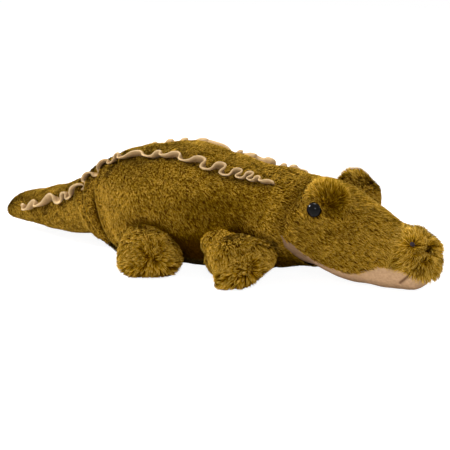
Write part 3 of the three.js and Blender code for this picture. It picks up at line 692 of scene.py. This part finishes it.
def fur_piece(name, material, nap, density, spacing, lie, seed):
    """Backing cloth and strands of one sewn piece as a single mesh, in the place of its CAD node."""
    corners = cut_piece(name)
    used, local = np.unique(corners, return_inverse=True)
    local = local.reshape(-1, 3)
    outer, outer_normal = skin_points[used], normals[used]
    strands, shade, shading = grow_fur(corners, nap, density, spacing, lie, seed)
    n_skin, n_strand = len(used), len(shade)
    co = np.concatenate([outer, strands.reshape(-1, 3)])
    first = n_skin + 5 * np.arange(n_strand)[:, None]
    blades = np.concatenate([first + np.array([0, 1, 2, 3]), first + np.array([3, 2, 4])], axis=1)
    loops = np.concatenate([local.ravel(), blades.ravel()])
    sizes = np.concatenate([np.full(len(local), 3), np.tile([4, 3], n_strand)])
    starts = np.concatenate([[0], np.cumsum(sizes)[:-1]])
    mesh = bpy.data.meshes.new(f"{name}_fur")
    mesh.vertices.add(len(co))
    mesh.vertices.foreach_set("co", co.astype(np.float32).ravel())
    mesh.loops.add(len(loops))
    mesh.loops.foreach_set("vertex_index", loops.astype(np.int32))
    mesh.polygons.add(len(sizes))
    mesh.polygons.foreach_set("loop_start", starts.astype(np.int32))
    mesh.polygons.foreach_set("loop_total", sizes.astype(np.int32))
    chart = mesh.uv_layers.new(name="OFBake")
    low, high = outer.min(0), outer.max(0)
    flat_share = (outer - low) / (high - low)
    skin_uv = np.stack([0.2 + 0.3 * flat_share[:, 0], 0.004 + 0.03 * (flat_share[:, 1] + flat_share[:, 2]) / 2], axis=1)
    across = np.array([-1, 1, 1, -1, 0]) * 0.006
    strand_uv = np.stack([
        shade[:, None] + across[None, :],
        np.broadcast_to(np.array([0.08, 0.08, 0.55, 0.55, 1.0]), (n_strand, 5)),
    ], axis=2).reshape(-1, 2)
    vert_uv = np.concatenate([skin_uv, strand_uv])
    chart.data.foreach_set("uv", np.clip(vert_uv[loops], 0, 1).astype(np.float32).ravel())
    mesh.update(calc_edges=True)
    mesh.validate()
    lit = mesh.attributes.new("custom_normal", "FLOAT_VECTOR", "POINT")
    lit.data.foreach_set("vector", np.concatenate([outer_normal, shading.reshape(-1, 3)]).astype(np.float32).ravel())
    mesh.materials.append(material)
    piece = bpy.data.objects.new(f"{name}_fur", mesh)
    bpy.context.scene.collection.objects.link(piece)
    return piece


def even(value, spots):
    return np.full(len(spots), float(value))


def near(spots, middle, reach):
    """1 at a place and 0 further than its reach from it, with a soft edge."""
    return np.exp(-(np.linalg.norm(spots - np.array(middle), axis=1) / reach) ** 2)


def in_fold(spots, lines, reach, behind):
    """1 in folds of the skin and 0 further than this reach from them, moved towards the tail."""
    moved = spots[:, [0, 2]] + np.array([behind, 0])
    away = np.minimum.reduce([line_distance(moved, line) for line in lines])
    return np.exp(-(away / reach) ** 2) * np.clip((np.abs(spots[:, 1]) - 12) / 20, 0, 1)


def mirror_near(spots, middle, reach):
    return near(np.stack([spots[:, 0], -np.abs(spots[:, 1]), spots[:, 2]], axis=1), middle, reach)


# Body panels. The back panel lies between the two ruffle seams, a side panel hangs from each to the
# belly, and the belly is a shorter pile, very dark: partly its own darker cloth, partly painted shade of
# the underside. They are sewn round the stuffing of the body.
def body_nap(spots, facing, chance):
    comb = np.tile([0.75, 0.0, -0.55], (len(spots), 1))
    comb[:, 1] = np.sign(spots[:, 1]) * 0.2
    # Painted shade: darker towards the belly, under the throat and between the legs, where shade falls.
    low = np.clip((44 - spots[:, 2]) / 36, 0, 1)
    shade = 0.5 - 0.5 * low ** 1.3 * np.clip((spots[:, 0] + 50) / 40, 0.25, 1)
    shade -= 0.42 * np.clip((36 - spots[:, 2]) / 16, 0, 1) * np.clip((spots[:, 0] - 88) / 12, 0, 1)
    shade -= 0.34 * np.clip((52 - spots[:, 2]) / 20, 0, 1) * np.exp(-((spots[:, 0] - 38) / 20) ** 2)
    # Painted shade in the folds at the tail's root.
    shade -= 0.75 * in_fold(spots, tail_folds, 2.0, 2.5)
    # Painted light and shade along the body: the rump painted lighter, the shoulder darker.
    painted_light_along_body = np.interp(spots[:, 0], [-110, -70, -20, 30, 64, 90, 110], [0.44, 0.4, 0.0, -0.14, -0.32, -0.27, -0.16])
    shade += painted_light_along_body * np.clip((100 - spots[:, 2]) / 20, 0, 1)
    length = 5.3 - 3.2 * in_fold(spots, tail_folds, 9.0, 3)
    return comb, length, even(45, spots), even(0.54, spots), even(0.17, spots), shade


def belly_nap(spots, facing, chance):
    comb = np.tile([-1.0, 0.0, -0.2], (len(spots), 1))
    return comb, even(3.4, spots), even(62, spots), even(0.6, spots), even(0.3, spots), even(0.5, spots)


body_density = 2.2
for order, name in enumerate(("back_panel", "side_panel_right", "side_panel_left")):
    panel = fur_piece(name, fur_material, body_nap, body_density, 1.8, (0.8, 0, -0.5), 10 + order)
    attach(panel, "torso")
    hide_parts(name)
    if name == "back_panel":
        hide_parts("torso_fill")
belly = fur_piece("belly_panel", belly_material, belly_nap, 1.5, 2.1, (1, 0, 0), 20)
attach(belly, "torso")
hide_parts("belly_panel")


# Tail covers. A top and an under panel that taper to a blunt tip, sewn on at the fold behind the rump.
def tail_nap(spots, facing, chance):
    comb = np.tile([0.9, 0.0, -0.35], (len(spots), 1))
    # Painted light and shade: the tail painted lighter than the body, darker towards the bottom and in the folds at its
    # root.
    low = np.clip((30 - spots[:, 2]) / 30, 0, 1)
    shade = 0.7 - 0.24 * low - 0.75 * in_fold(spots, tail_folds, 2.0, 2.5)
    length = 4.5 - 2.4 * in_fold(spots, tail_folds, 9.0, 3)
    return comb, length, even(45, spots), even(0.54, spots), even(0.17, spots), shade


for order, name in enumerate(("tail_top_panel", "tail_under_panel")):
    panel = fur_piece(name, fur_material, tail_nap, body_density, 1.8, (0.93, 0, -0.36), 30 + order)
    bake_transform(panel)
    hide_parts(name)
    if name == "tail_top_panel":
        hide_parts("tail_fill")


# Head cover. Fur from the neck over the cheeks to the nose, where the pile is long and stands out round
# the nostrils. It hides the stuffing of the head.
nostril_spot = np.array([256, -19, 47])
nose_middle = np.array([266, -10, 42])


def head_nap(spots, facing, chance):
    comb = np.tile([0.9, 0.0, -0.35], (len(spots), 1))
    comb[:, 1] = np.sign(spots[:, 1]) * 0.2
    mirror = np.stack([spots[:, 0], -np.abs(spots[:, 1]), spots[:, 2]], axis=1)
    hand = np.stack([np.ones(len(spots)), np.where(spots[:, 1] > 0, -1, 1), np.ones(len(spots))], axis=1)
    by_nostril = mirror_near(spots, nostril_spot, 11)
    to_nose = np.clip((spots[:, 0] - 228) / 22, 0, 1) * np.clip((spots[:, 2] - 4) / 12, 0, 1)
    outward = unit(mirror - nose_middle + 22 * drift(spots * mm, 7, 7)) * (1 - by_nostril)[:, None] + unit(mirror - nostril_spot) * by_nostril[:, None]
    comb = unit(comb) * (1 - to_nose)[:, None] + outward * hand * to_nose[:, None]
    shaggy = to_nose * (1 - 0.75 * by_nostril)
    length = 5.8 + 4.4 * shaggy * (1 + 0.5 * drift(spots * mm, 10, 12)[:, 0])
    lean = 45 - 16 * shaggy - 4 * mirror_near(spots, nose_middle, 9)
    under = np.clip((38 - spots[:, 2]) / 16, 0, 1) * np.clip((146 - spots[:, 0]) / 10, 0, 1)
    # Painted light and shade: the patches at (184, -46, 73) and (182, -49, 62) darken the hollow under the brow beside
    # the eye, under darkens the head's underside above the throat, the middle of the nose's whorl and the snout towards
    # the nose are lighter, and the cheek fold gets a painted highlight on its swell and painted shade in it.
    shade = 0.46 - 0.26 * mirror_near(spots, (246, -30, 34), 9) - 0.3 * mirror_near(spots, (184, -46, 73), 9)
    shade += 0.3 * mirror_near(spots, nose_middle, 9) - 0.16 * mirror_near(spots, nostril_spot, 5) - 0.42 * under
    shade += 0.16 * np.clip((spots[:, 0] - 190) / 30, 0, 1) - 0.28 * mirror_near(spots, (182, -49, 62), 9)
    shade += 0.18 * in_fold(spots, [cheek_fold], 3.5, -6) - 0.16 * in_fold(spots, [cheek_fold], 3.5, 2)
    length *= 1 - 0.45 * in_fold(spots, [cheek_fold], 7, 0)
    return comb, length, lean, 0.56 + 0.14 * shaggy, 0.24 + 0.34 * shaggy, shade


head = fur_piece("head_cover", fur_material, head_nap, 2.2, 1.8, (0.93, 0, -0.36), 40)
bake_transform(head)
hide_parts("head_cover", "head_fill")

# Brow covers. A dome of long fur over each eye, with its own stuffing. The pile radiates from a pinched
# place beside the eye.
brow_pinch = np.array([184, -46, 82])


def brow_nap(spots, facing, chance):
    mirror = np.stack([spots[:, 0], -np.abs(spots[:, 1]), spots[:, 2]], axis=1)
    away = mirror - brow_pinch + 4 * drift(spots * mm, 8, 9)
    away[:, 1] *= np.where(spots[:, 1] > 0, -1, 1)
    far = np.clip(np.linalg.norm(mirror - brow_pinch, axis=1) / 24, 0, 1)
    high = np.clip((spots[:, 2] - 80) / 14, 0, 1)
    plain_nap = np.stack([even(0.85, spots), np.sign(spots[:, 1]) * 0.25, even(-0.45, spots)], axis=1)
    high *= np.clip((spots[:, 0] - 150) / 18, 0.15, 1)
    comb = unit(away) * high[:, None] + plain_nap * (1 - high)[:, None]
    # Painted light and shade: darker in the pinched hollow beside the eye and over the brow's top, a painted highlight
    # on its rim, and lighter at the front of the left brow and beside the cheek fold.
    shade = 0.48 - 0.26 * mirror_near(spots, brow_pinch, 12) - 0.18 * high + 0.1 * high * far
    shade += 0.22 * (spots[:, 1] > 0) * np.clip((spots[:, 0] - 168) / 16, 0, 1)
    shade += 0.18 * in_fold(spots, [cheek_fold], 3.5, -6)
    length = (5.4 + (4.6 + np.where(spots[:, 1] > 0, 2.4, 0)) * high * far) * (1 - 0.4 * in_fold(spots, [cheek_fold], 7, 0))
    standing = high * far * np.where(spots[:, 1] > 0, 2, 1)
    return comb, length, 46 - 16 * standing, even(0.6, spots), 0.26 + 0.2 * standing, shade


for order, side in enumerate(("right", "left")):
    brow = fur_piece(f"brow_cover_{side}", fur_material, brow_nap, 2.1, 2.3, (0.3, 0, 0.95), 50 + order)
    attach(brow, "head")
    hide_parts(f"brow_cover_{side}", f"brow_fill_{side}")

# Leg covers. A short sleeve of fur sewn into the side panel, gathered under the toes, with long shaggy
# pile that radiates from the middle of the foot.
for order, leg_name in enumerate(legs):
    root, out, across = leg_axes(leg_name)
    ahead = across * math.copysign(1, -root[1]) * (8 if "front" in leg_name else 0)
    foot_middle = root + out * 53 + ahead + np.array([0, 0, 17.0 if "front" in leg_name else 22.0])

    def leg_nap(spots, facing, chance):
        along = (spots * np.array([1, 1, 0]) - root) @ out
        wander = drift(spots * mm, 14, 5)
        radial = unit(spots - foot_middle + 15 * drift(spots * mm, 7, 6))
        in_foot = np.clip((along - 26) / 16, 0, 1)
        from_middle = np.linalg.norm(spots - foot_middle, axis=1)
        rim = in_foot * np.clip((25 - spots[:, 2]) / 14, 0, 1)
        parted = in_foot * np.clip(np.exp(-(from_middle / 24) ** 2) + rim, 0, 1)
        comb = (out * 0.55 + np.array([0, 0, -0.7])) * (1 - parted[:, None]) + radial * parted[:, None]
        length = 5.8 + 1.4 * in_foot + (1.4 + 2.8 * wander[:, 0]) * rim
        # Painted light: the front feet lighter than the hind ones, and the middle of each foot's whorl lighter.
        shade = (0.62 if root[0] > 0 else 0.56) + 0.2 * np.exp(-(from_middle / 7) ** 2)
        shade -= 0.46 * np.clip(3 * drift(spots * mm, 5, 8)[:, 1], 0, 1) * np.clip(1.4 * rim + 0.2 * in_foot, 0, 1)
        lean = 46 - 8 * in_foot - 18 * np.exp(-(from_middle / 10) ** 2)
        return comb, length, lean, 0.62 + 0.1 * rim, 0.34 + 0.12 * in_foot + 0.26 * rim, shade

    cover_name = leg_name.replace("_leg_", "_leg_cover_")
    leg = fur_piece(cover_name, fur_material, leg_nap, 2.1, 2.5, out * 0.6 + np.array([0, 0, -0.8]), 60 + order)
    start, end = root + out * 6, root + out * 26
    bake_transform(leg)
    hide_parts(cover_name, cover_name.replace("cover", "fill"))

# Soft jaw. Smooth beige cloth with a very short pile, sewn to the fur along the mouth and stuffed with
# the head.
jaw_form = skin.copy()
bmesh.ops.delete(jaw_form, geom=[face for face, piece in zip(jaw_form.faces, face_piece) if piece != "jaw_panel"], context="FACES")
bmesh.ops.subdivide_edges(jaw_form, edges=jaw_form.edges, cuts=2, use_grid_fill=True)
jaw_crease = [(247, 11), (259, 23)]
for vert in jaw_form.verts:
    if vert.co.y < -10 * mm:
        away = line_distance(np.array([[vert.co.x, vert.co.z]]) / mm, jaw_crease)[0]
        vert.co -= vert.normal * (2.2 * math.exp(-(away / 1.2) ** 2) - 0.6 * math.exp(-((away - 3.2) / 1.6) ** 2)) * mm
jaw_layer = jaw_form.loops.layers.uv.new("OFBake")
for face in jaw_form.faces:
    face.smooth = True
    for loop in face.loops:
        x, y, z = loop.vert.co / mm
        # Painted shade: v, and so the cloth's colour, is lower in the stitched crease and towards the jaw's rear, under
        # the cheek.
        hollow = math.exp(-(line_distance(np.array([[x, z]]), jaw_crease)[0] / 0.9) ** 2) if y < -10 else 0
        painted_shade_level = 0.9 - 0.7 * hollow - 0.22 * min(max((172 - x) / 30, 0), 1)
        loop[jaw_layer].uv = ((x - 120) / 180, painted_shade_level + y / 1500)
jaw_mesh = bpy.data.meshes.new("jaw_cloth")
jaw_form.to_mesh(jaw_mesh)
jaw_form.free()
jaw = bpy.data.objects.new("jaw_cloth", jaw_mesh)
bpy.context.scene.collection.objects.link(jaw)


def velour(name, lit_colour, shaded_colour):
    """Smooth short pile cloth with a faint uneven lie of the pile. Painted light and shade: the lit colour
    where v of its map is high, the shaded one where it is low.
    """
    material = bpy.data.materials.new(name)
    material.use_nodes = True
    nodes, links = material.node_tree.nodes, material.node_tree.links
    shader = nodes["Principled BSDF"]
    shader.inputs["Roughness"].default_value = 0.85
    shader.inputs["Specular IOR Level"].default_value = 0.05
    shader.inputs["Sheen Weight"].default_value = 0.12
    shader.inputs["Sheen Roughness"].default_value = 0.4
    shader.inputs["Sheen Tint"].default_value = (*lit_colour, 1)
    chart = nodes.new("ShaderNodeUVMap")
    chart.uv_map = "OFBake"
    split = nodes.new("ShaderNodeSeparateXYZ")
    links.new(chart.outputs["UV"], split.inputs["Vector"])
    face, fold = nodes.new("ShaderNodeRGB"), nodes.new("ShaderNodeRGB")
    face.outputs[0].default_value = (*shaded_colour, 1)
    fold.outputs[0].default_value = (*lit_colour, 1)
    base = mix_colours(nodes, links, ramp_between(nodes, links, 0.45, 0.95, split.outputs["Y"]), face.outputs[0], fold.outputs[0])
    where = nodes.new("ShaderNodeTexCoord")
    lie = nodes.new("ShaderNodeTexNoise")
    lie.inputs["Scale"].default_value = 420
    lie.inputs["Detail"].default_value = 3
    links.new(where.outputs["Object"], lie.inputs["Vector"])
    uneven = nodes.new("ShaderNodeMapRange")
    uneven.inputs["From Min"].default_value = 0.3
    uneven.inputs["From Max"].default_value = 0.7
    uneven.inputs["To Min"].default_value = 0.86
    uneven.inputs["To Max"].default_value = 1.14
    links.new(lie.outputs["Fac"], uneven.inputs["Value"])
    tinted = nodes.new("ShaderNodeVectorMath")
    tinted.operation = "SCALE"
    links.new(base, tinted.inputs[0])
    links.new(uneven.outputs["Result"], tinted.inputs["Scale"])
    links.new(tinted.outputs["Vector"], shader.inputs["Base Color"])
    bump = nodes.new("ShaderNodeBump")
    bump.inputs["Strength"].default_value = 0.25
    bump.inputs["Distance"].default_value = 0.0006
    links.new(lie.outputs["Fac"], bump.inputs["Height"])
    links.new(bump.outputs["Normal"], shader.inputs["Normal"])
    return material


cloth_material = velour("beige_velour", (0.392, 0.243, 0.131), (0.19, 0.105, 0.055))
jaw_mesh.materials.append(cloth_material)
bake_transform(jaw)
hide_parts("jaw_panel")

# Ruffles. A doubled strip of smooth tan cloth is gathered into each back seam, so that it stands on edge
# in loops. The run along the body goes on without a break along the side of the tail.
ruffle_seam = np.array([  # place along X, to the side, and height of the strip's foot
    [-220, 23, 32], [-210, 26, 33], [-198, 29, 36], [-188, 32, 41], [-178, 34, 45], [-168, 35, 49],
    [-160, 34, 50], [-150, 35, 54], [-138, 38, 59], [-128, 40, 65], [-119, 38, 74], [-109, 36, 83],
    [-100, 33, 91], [-88, 32, 98], [-76, 31, 103], [-57, 33, 108], [-36, 38, 111], [-20, 42, 112],
    [0, 42, 113], [20, 43, 112], [40, 43, 108], [60, 40, 104], [75, 36, 101], [90, 33, 98], [116, 33, 94],
], float)
ruffle_loops = {  # place along X of each loop that swings outward, and its swing
    "right": [(-222, 2.5), (-207, 4.0), (-184, 6.0), (-147, 6.0), (-135, 4.2), (-117, 4.4), (-104, 3), (-80, 4.2), (-66, 3.4), (-22, 3.8),
              (-7, 2.6), (20, 4.6), (46, 6.6), (64, 6.2), (80, 5.4), (91, 4.6), (104, 1.5), (120, 0)],
    "left": [(-220, 3), (-190, 4.5), (-160, 4), (-140, 4.5), (-119, 3.2), (-101, 3.6), (-86, 2.8), (-68, 3.4), (-47, 2.4),
             (-30, 3), (-6, 2.2), (24, 3.6), (34, 2.0), (56, 3.2), (80, 4.6), (90, 2.6), (107, 1.5), (120, 0)],
}
ruffle_leans = {  # place along X, and the strip's lean outward in degrees
    "right": [(-218, -14), (-175, 0), (-150, 46), (-118, 60), (-98, 66), (-78, 42), (-60, 32), (20, 22), (116, 22)],
    "left": [(-218, -14), (-175, 0), (-150, 34), (-111, 42), (-109, 66), (-60, 46), (-28, 34), (-8, 20), (2, 48), (12, 76),
             (24, 50), (40, 32), (54, 16), (66, 30), (76, 52), (90, 58), (102, 32), (116, 46)],
}
ruffle_parts = {"ruffle": (-118, 116, "torso"), "tail_ruffle": (-218, -118, None)}
strip_height, strip_thickness = 10.4, 1.8
# The strips are painted lighter towards their top edge, a painted highlight, and darker lower down, painted shade.
ruffle_material = velour("tan_velour", (0.385, 0.264, 0.132), (0.205, 0.126, 0.055))


def smooth_rows(rows, reach):
    window = np.hanning(2 * reach + 1)
    window /= window.sum()
    return np.stack([np.convolve(np.pad(row, reach, mode="edge"), window, mode="valid") for row in rows.T], axis=1)


for side, loops_at in ruffle_loops.items():
    hand = -1 if side == "right" else 1
    places = np.arange(-218, 116.01, 0.5)
    feet, facings = [], []
    for x in places:
        y, z = (np.interp(x, ruffle_seam[:, 0], ruffle_seam[:, k]) for k in (1, 2))
        spot, facing, _, _ = surface.find_nearest(Vector((x, hand * y, z)) * mm)
        feet.append(spot)
        facings.append(facing)
    feet = smooth_rows(np.array(feet), 8)
    facings = unit(smooth_rows(np.array(facings), 14))
    run = unit(np.gradient(feet, axis=0))
    sideways = unit(np.cross(run, facings)) * -hand
    loop_x, loop_swing = np.array(loops_at).T
    phase = 2 * math.pi * np.interp(places, loop_x, np.arange(len(loop_x)))
    plain = np.clip((places + 218) / 6, 0, 1) * np.clip((116 - places) / 10, 0, 1)
    sway = np.interp(places, loop_x, loop_swing)
    leans = np.radians(np.interp(places, *np.array(ruffle_leans[side]).T))[:, None]
    standing = facings * np.cos(leans) + sideways * np.sin(leans)
    level = sideways * np.cos(leans) - facings * np.sin(leans)
    for part, (start_x, end_x, body) in ruffle_parts.items():
        first, last = np.searchsorted(places, start_x), np.searchsorted(places, end_x)
        steps, rises = last - first, 5
        strip = bmesh.new()
        chart = strip.loops.layers.uv.new("OFBake")
        bmesh.ops.create_grid(strip, x_segments=steps, y_segments=rises, size=0.5, calc_uvs=True)
        for vert in strip.verts:
            k = first + round((vert.co.x + 0.5) * steps)
            rise = vert.co.y + 0.5
            out = sway[k] * math.cos(phase[k]) * (0.2 + 0.8 * rise)
            along = sway[k] * (0.4 * math.sin(2 * phase[k]) - 0.55 * math.cos(phase[k])) * (0.1 + 0.9 * rise)
            high = (rise * (strip_height + 1.0) - 1.0) * (1 - 0.25 * (1 - plain[k]))
            vert.co = Vector(feet[k] + (level[k] * out + run[k] * along + standing[k] * high) * mm)
        strip_mesh = bpy.data.meshes.new(f"{part}_{side}_strip")
        strip.to_mesh(strip_mesh)
        strip.free()
        for face in strip_mesh.polygons:
            face.use_smooth = True
        strip_mesh.materials.append(ruffle_material)
        ruffle = bpy.data.objects.new(f"{part}_{side}_strip", strip_mesh)
        bpy.context.scene.collection.objects.link(ruffle)
        doubled = ruffle.modifiers.new("doubled", "SOLIDIFY")
        doubled.thickness = strip_thickness * mm
        doubled.offset = 0
        softened = ruffle.modifiers.new("softened", "SUBSURF")
        softened.levels = softened.render_levels = 1
        if body:
            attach(ruffle, body)
        else:
            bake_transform(ruffle)
        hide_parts(f"{part}_{side}")

# Eyes. A glossy black button eye on each side, whose stem goes through the cloth into a washer.
eye_material = bpy.data.materials.new("black_eye")
eye_material.use_nodes = True
gloss = eye_material.node_tree.nodes["Principled BSDF"]
gloss.inputs["Base Color"].default_value = (0.0022, 0.0016, 0.0014, 1)
gloss.inputs["Roughness"].default_value = 0.035
gloss.inputs["Specular IOR Level"].default_value = 0.1
for side, spot in eye_spots.items():
    hand = -1 if side == "right" else 1
    outline = [(0, 7.0)] + [(7.3 * math.cos(a), 1.6 + 5.4 * math.sin(a)) for a in np.linspace(1.45, 0, 12)]
    outline += [(7.3, 0.4), (6.9, 0), (1.6, 0), (1.6, -9), (0, -9)]
    button = bmesh.new()
    profile = [button.verts.new((r * mm, 0, h * mm)) for r, h in outline]
    rims = [button.edges.new(pair) for pair in zip(profile[:-1], profile[1:])]
    bmesh.ops.spin(button, geom=profile + rims, axis=(0, 0, 1), cent=(0, 0, 0), angle=2 * math.pi, steps=40, use_merge=True)
    bmesh.ops.remove_doubles(button, verts=button.verts, dist=1e-6)
    bmesh.ops.recalc_face_normals(button, faces=button.faces)
    looks = Vector((0.32, hand * 0.92, 0.16)).normalized()
    bmesh.ops.transform(button, matrix=looks.to_track_quat("Z", "Y").to_matrix().to_4x4(), verts=button.verts)
    bmesh.ops.translate(button, vec=Vector(spot) * mm + looks * 1.6 * mm, verts=button.verts)
    button_mesh = bpy.data.meshes.new(f"eye_{side}_button")
    button.to_mesh(button_mesh)
    button.free()
    for face in button_mesh.polygons:
        face.use_smooth = True
    button_mesh.materials.append(eye_material)
    eye = bpy.data.objects.new(f"eye_{side}_button", button_mesh)
    bpy.context.scene.collection.objects.link(eye)
    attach(eye, "head")
    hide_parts(f"eye_{side}")

# Eye washers. A plain white plastic ring is pressed on each eye's stem from inside the cloth, and holds it.
washer_material = bpy.data.materials.new("white_washer")
washer_material.use_nodes = True
washer_material.node_tree.nodes["Principled BSDF"].inputs["Base Color"].default_value = (0.78, 0.76, 0.70, 1)
washer_material.node_tree.nodes["Principled BSDF"].inputs["Roughness"].default_value = 0.45
for side, spot in eye_spots.items():
    hand = -1 if side == "right" else 1
    ring = bmesh.new()
    section = [ring.verts.new((r * mm, 0, h * mm)) for r, h in ((1.9, -5.6), (5.5, -5.2), (5.5, -4.2), (1.9, -4.6))]
    around = [ring.edges.new((section[k], section[(k + 1) % 4])) for k in range(4)]
    bmesh.ops.spin(ring, geom=section + around, axis=(0, 0, 1), cent=(0, 0, 0), angle=2 * math.pi, steps=32, use_merge=True)
    bmesh.ops.recalc_face_normals(ring, faces=ring.faces)
    looks = Vector((0.32, hand * 0.92, 0.16)).normalized()
    bmesh.ops.transform(ring, matrix=looks.to_track_quat("Z", "Y").to_matrix().to_4x4(), verts=ring.verts)
    bmesh.ops.translate(ring, vec=Vector(spot) * mm + looks * 1.6 * mm, verts=ring.verts)
    ring_mesh = bpy.data.meshes.new(f"eye_washer_{side}_ring")
    ring.to_mesh(ring_mesh)
    ring.free()
    ring_mesh.materials.append(washer_material)
    washer = bpy.data.objects.new(f"eye_washer_{side}_ring", ring_mesh)
    bpy.context.scene.collection.objects.link(washer)
    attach(washer, "head")
    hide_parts(f"eye_washer_{side}")

# Nostrils. A few satin stitches of dark thread on each side of the nose, in a parting of the pile.
thread_material = bpy.data.materials.new("nose_thread")
thread_material.use_nodes = True
thread = thread_material.node_tree.nodes["Principled BSDF"]
thread.inputs["Base Color"].default_value = (0.014, 0.007, 0.009, 1)
thread.inputs["Roughness"].default_value = 0.6
thread.inputs["Specular IOR Level"].default_value = 0.15
for side, spot in nostril_spots.items():
    root, facing, _, _ = surface.find_nearest(Vector(spot) * mm)
    across = Vector((0, 1, 0)).cross(facing).normalized()
    beside = facing.cross(across).normalized()
    stitches = bmesh.new()
    for k in range(6):
        bar = bmesh.ops.create_uvsphere(stitches, u_segments=10, v_segments=12, radius=1)
        for vert in bar["verts"]:
            lift = 3.0 + 0.9 * math.sqrt(max(0, 1 - vert.co.z ** 2)) + 0.45 * vert.co.x
            shift = (k - 2.5) * 0.62 + 0.42 * vert.co.y
            vert.co = root + (across * (vert.co.z * (2.9 - 0.12 * abs(k - 2.5) ** 2)) + beside * shift + facing * lift) * mm
    stitch_mesh = bpy.data.meshes.new(f"nostril_{side}_stitches")
    stitches.to_mesh(stitch_mesh)
    stitches.free()
    for face in stitch_mesh.polygons:
        face.use_smooth = True
    stitch_mesh.materials.append(thread_material)
    nostril = bpy.data.objects.new(f"nostril_{side}_stitches", stitch_mesh)
    bpy.context.scene.collection.objects.link(nostril)
    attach(nostril, "head")
    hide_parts(f"nostril_{side}")
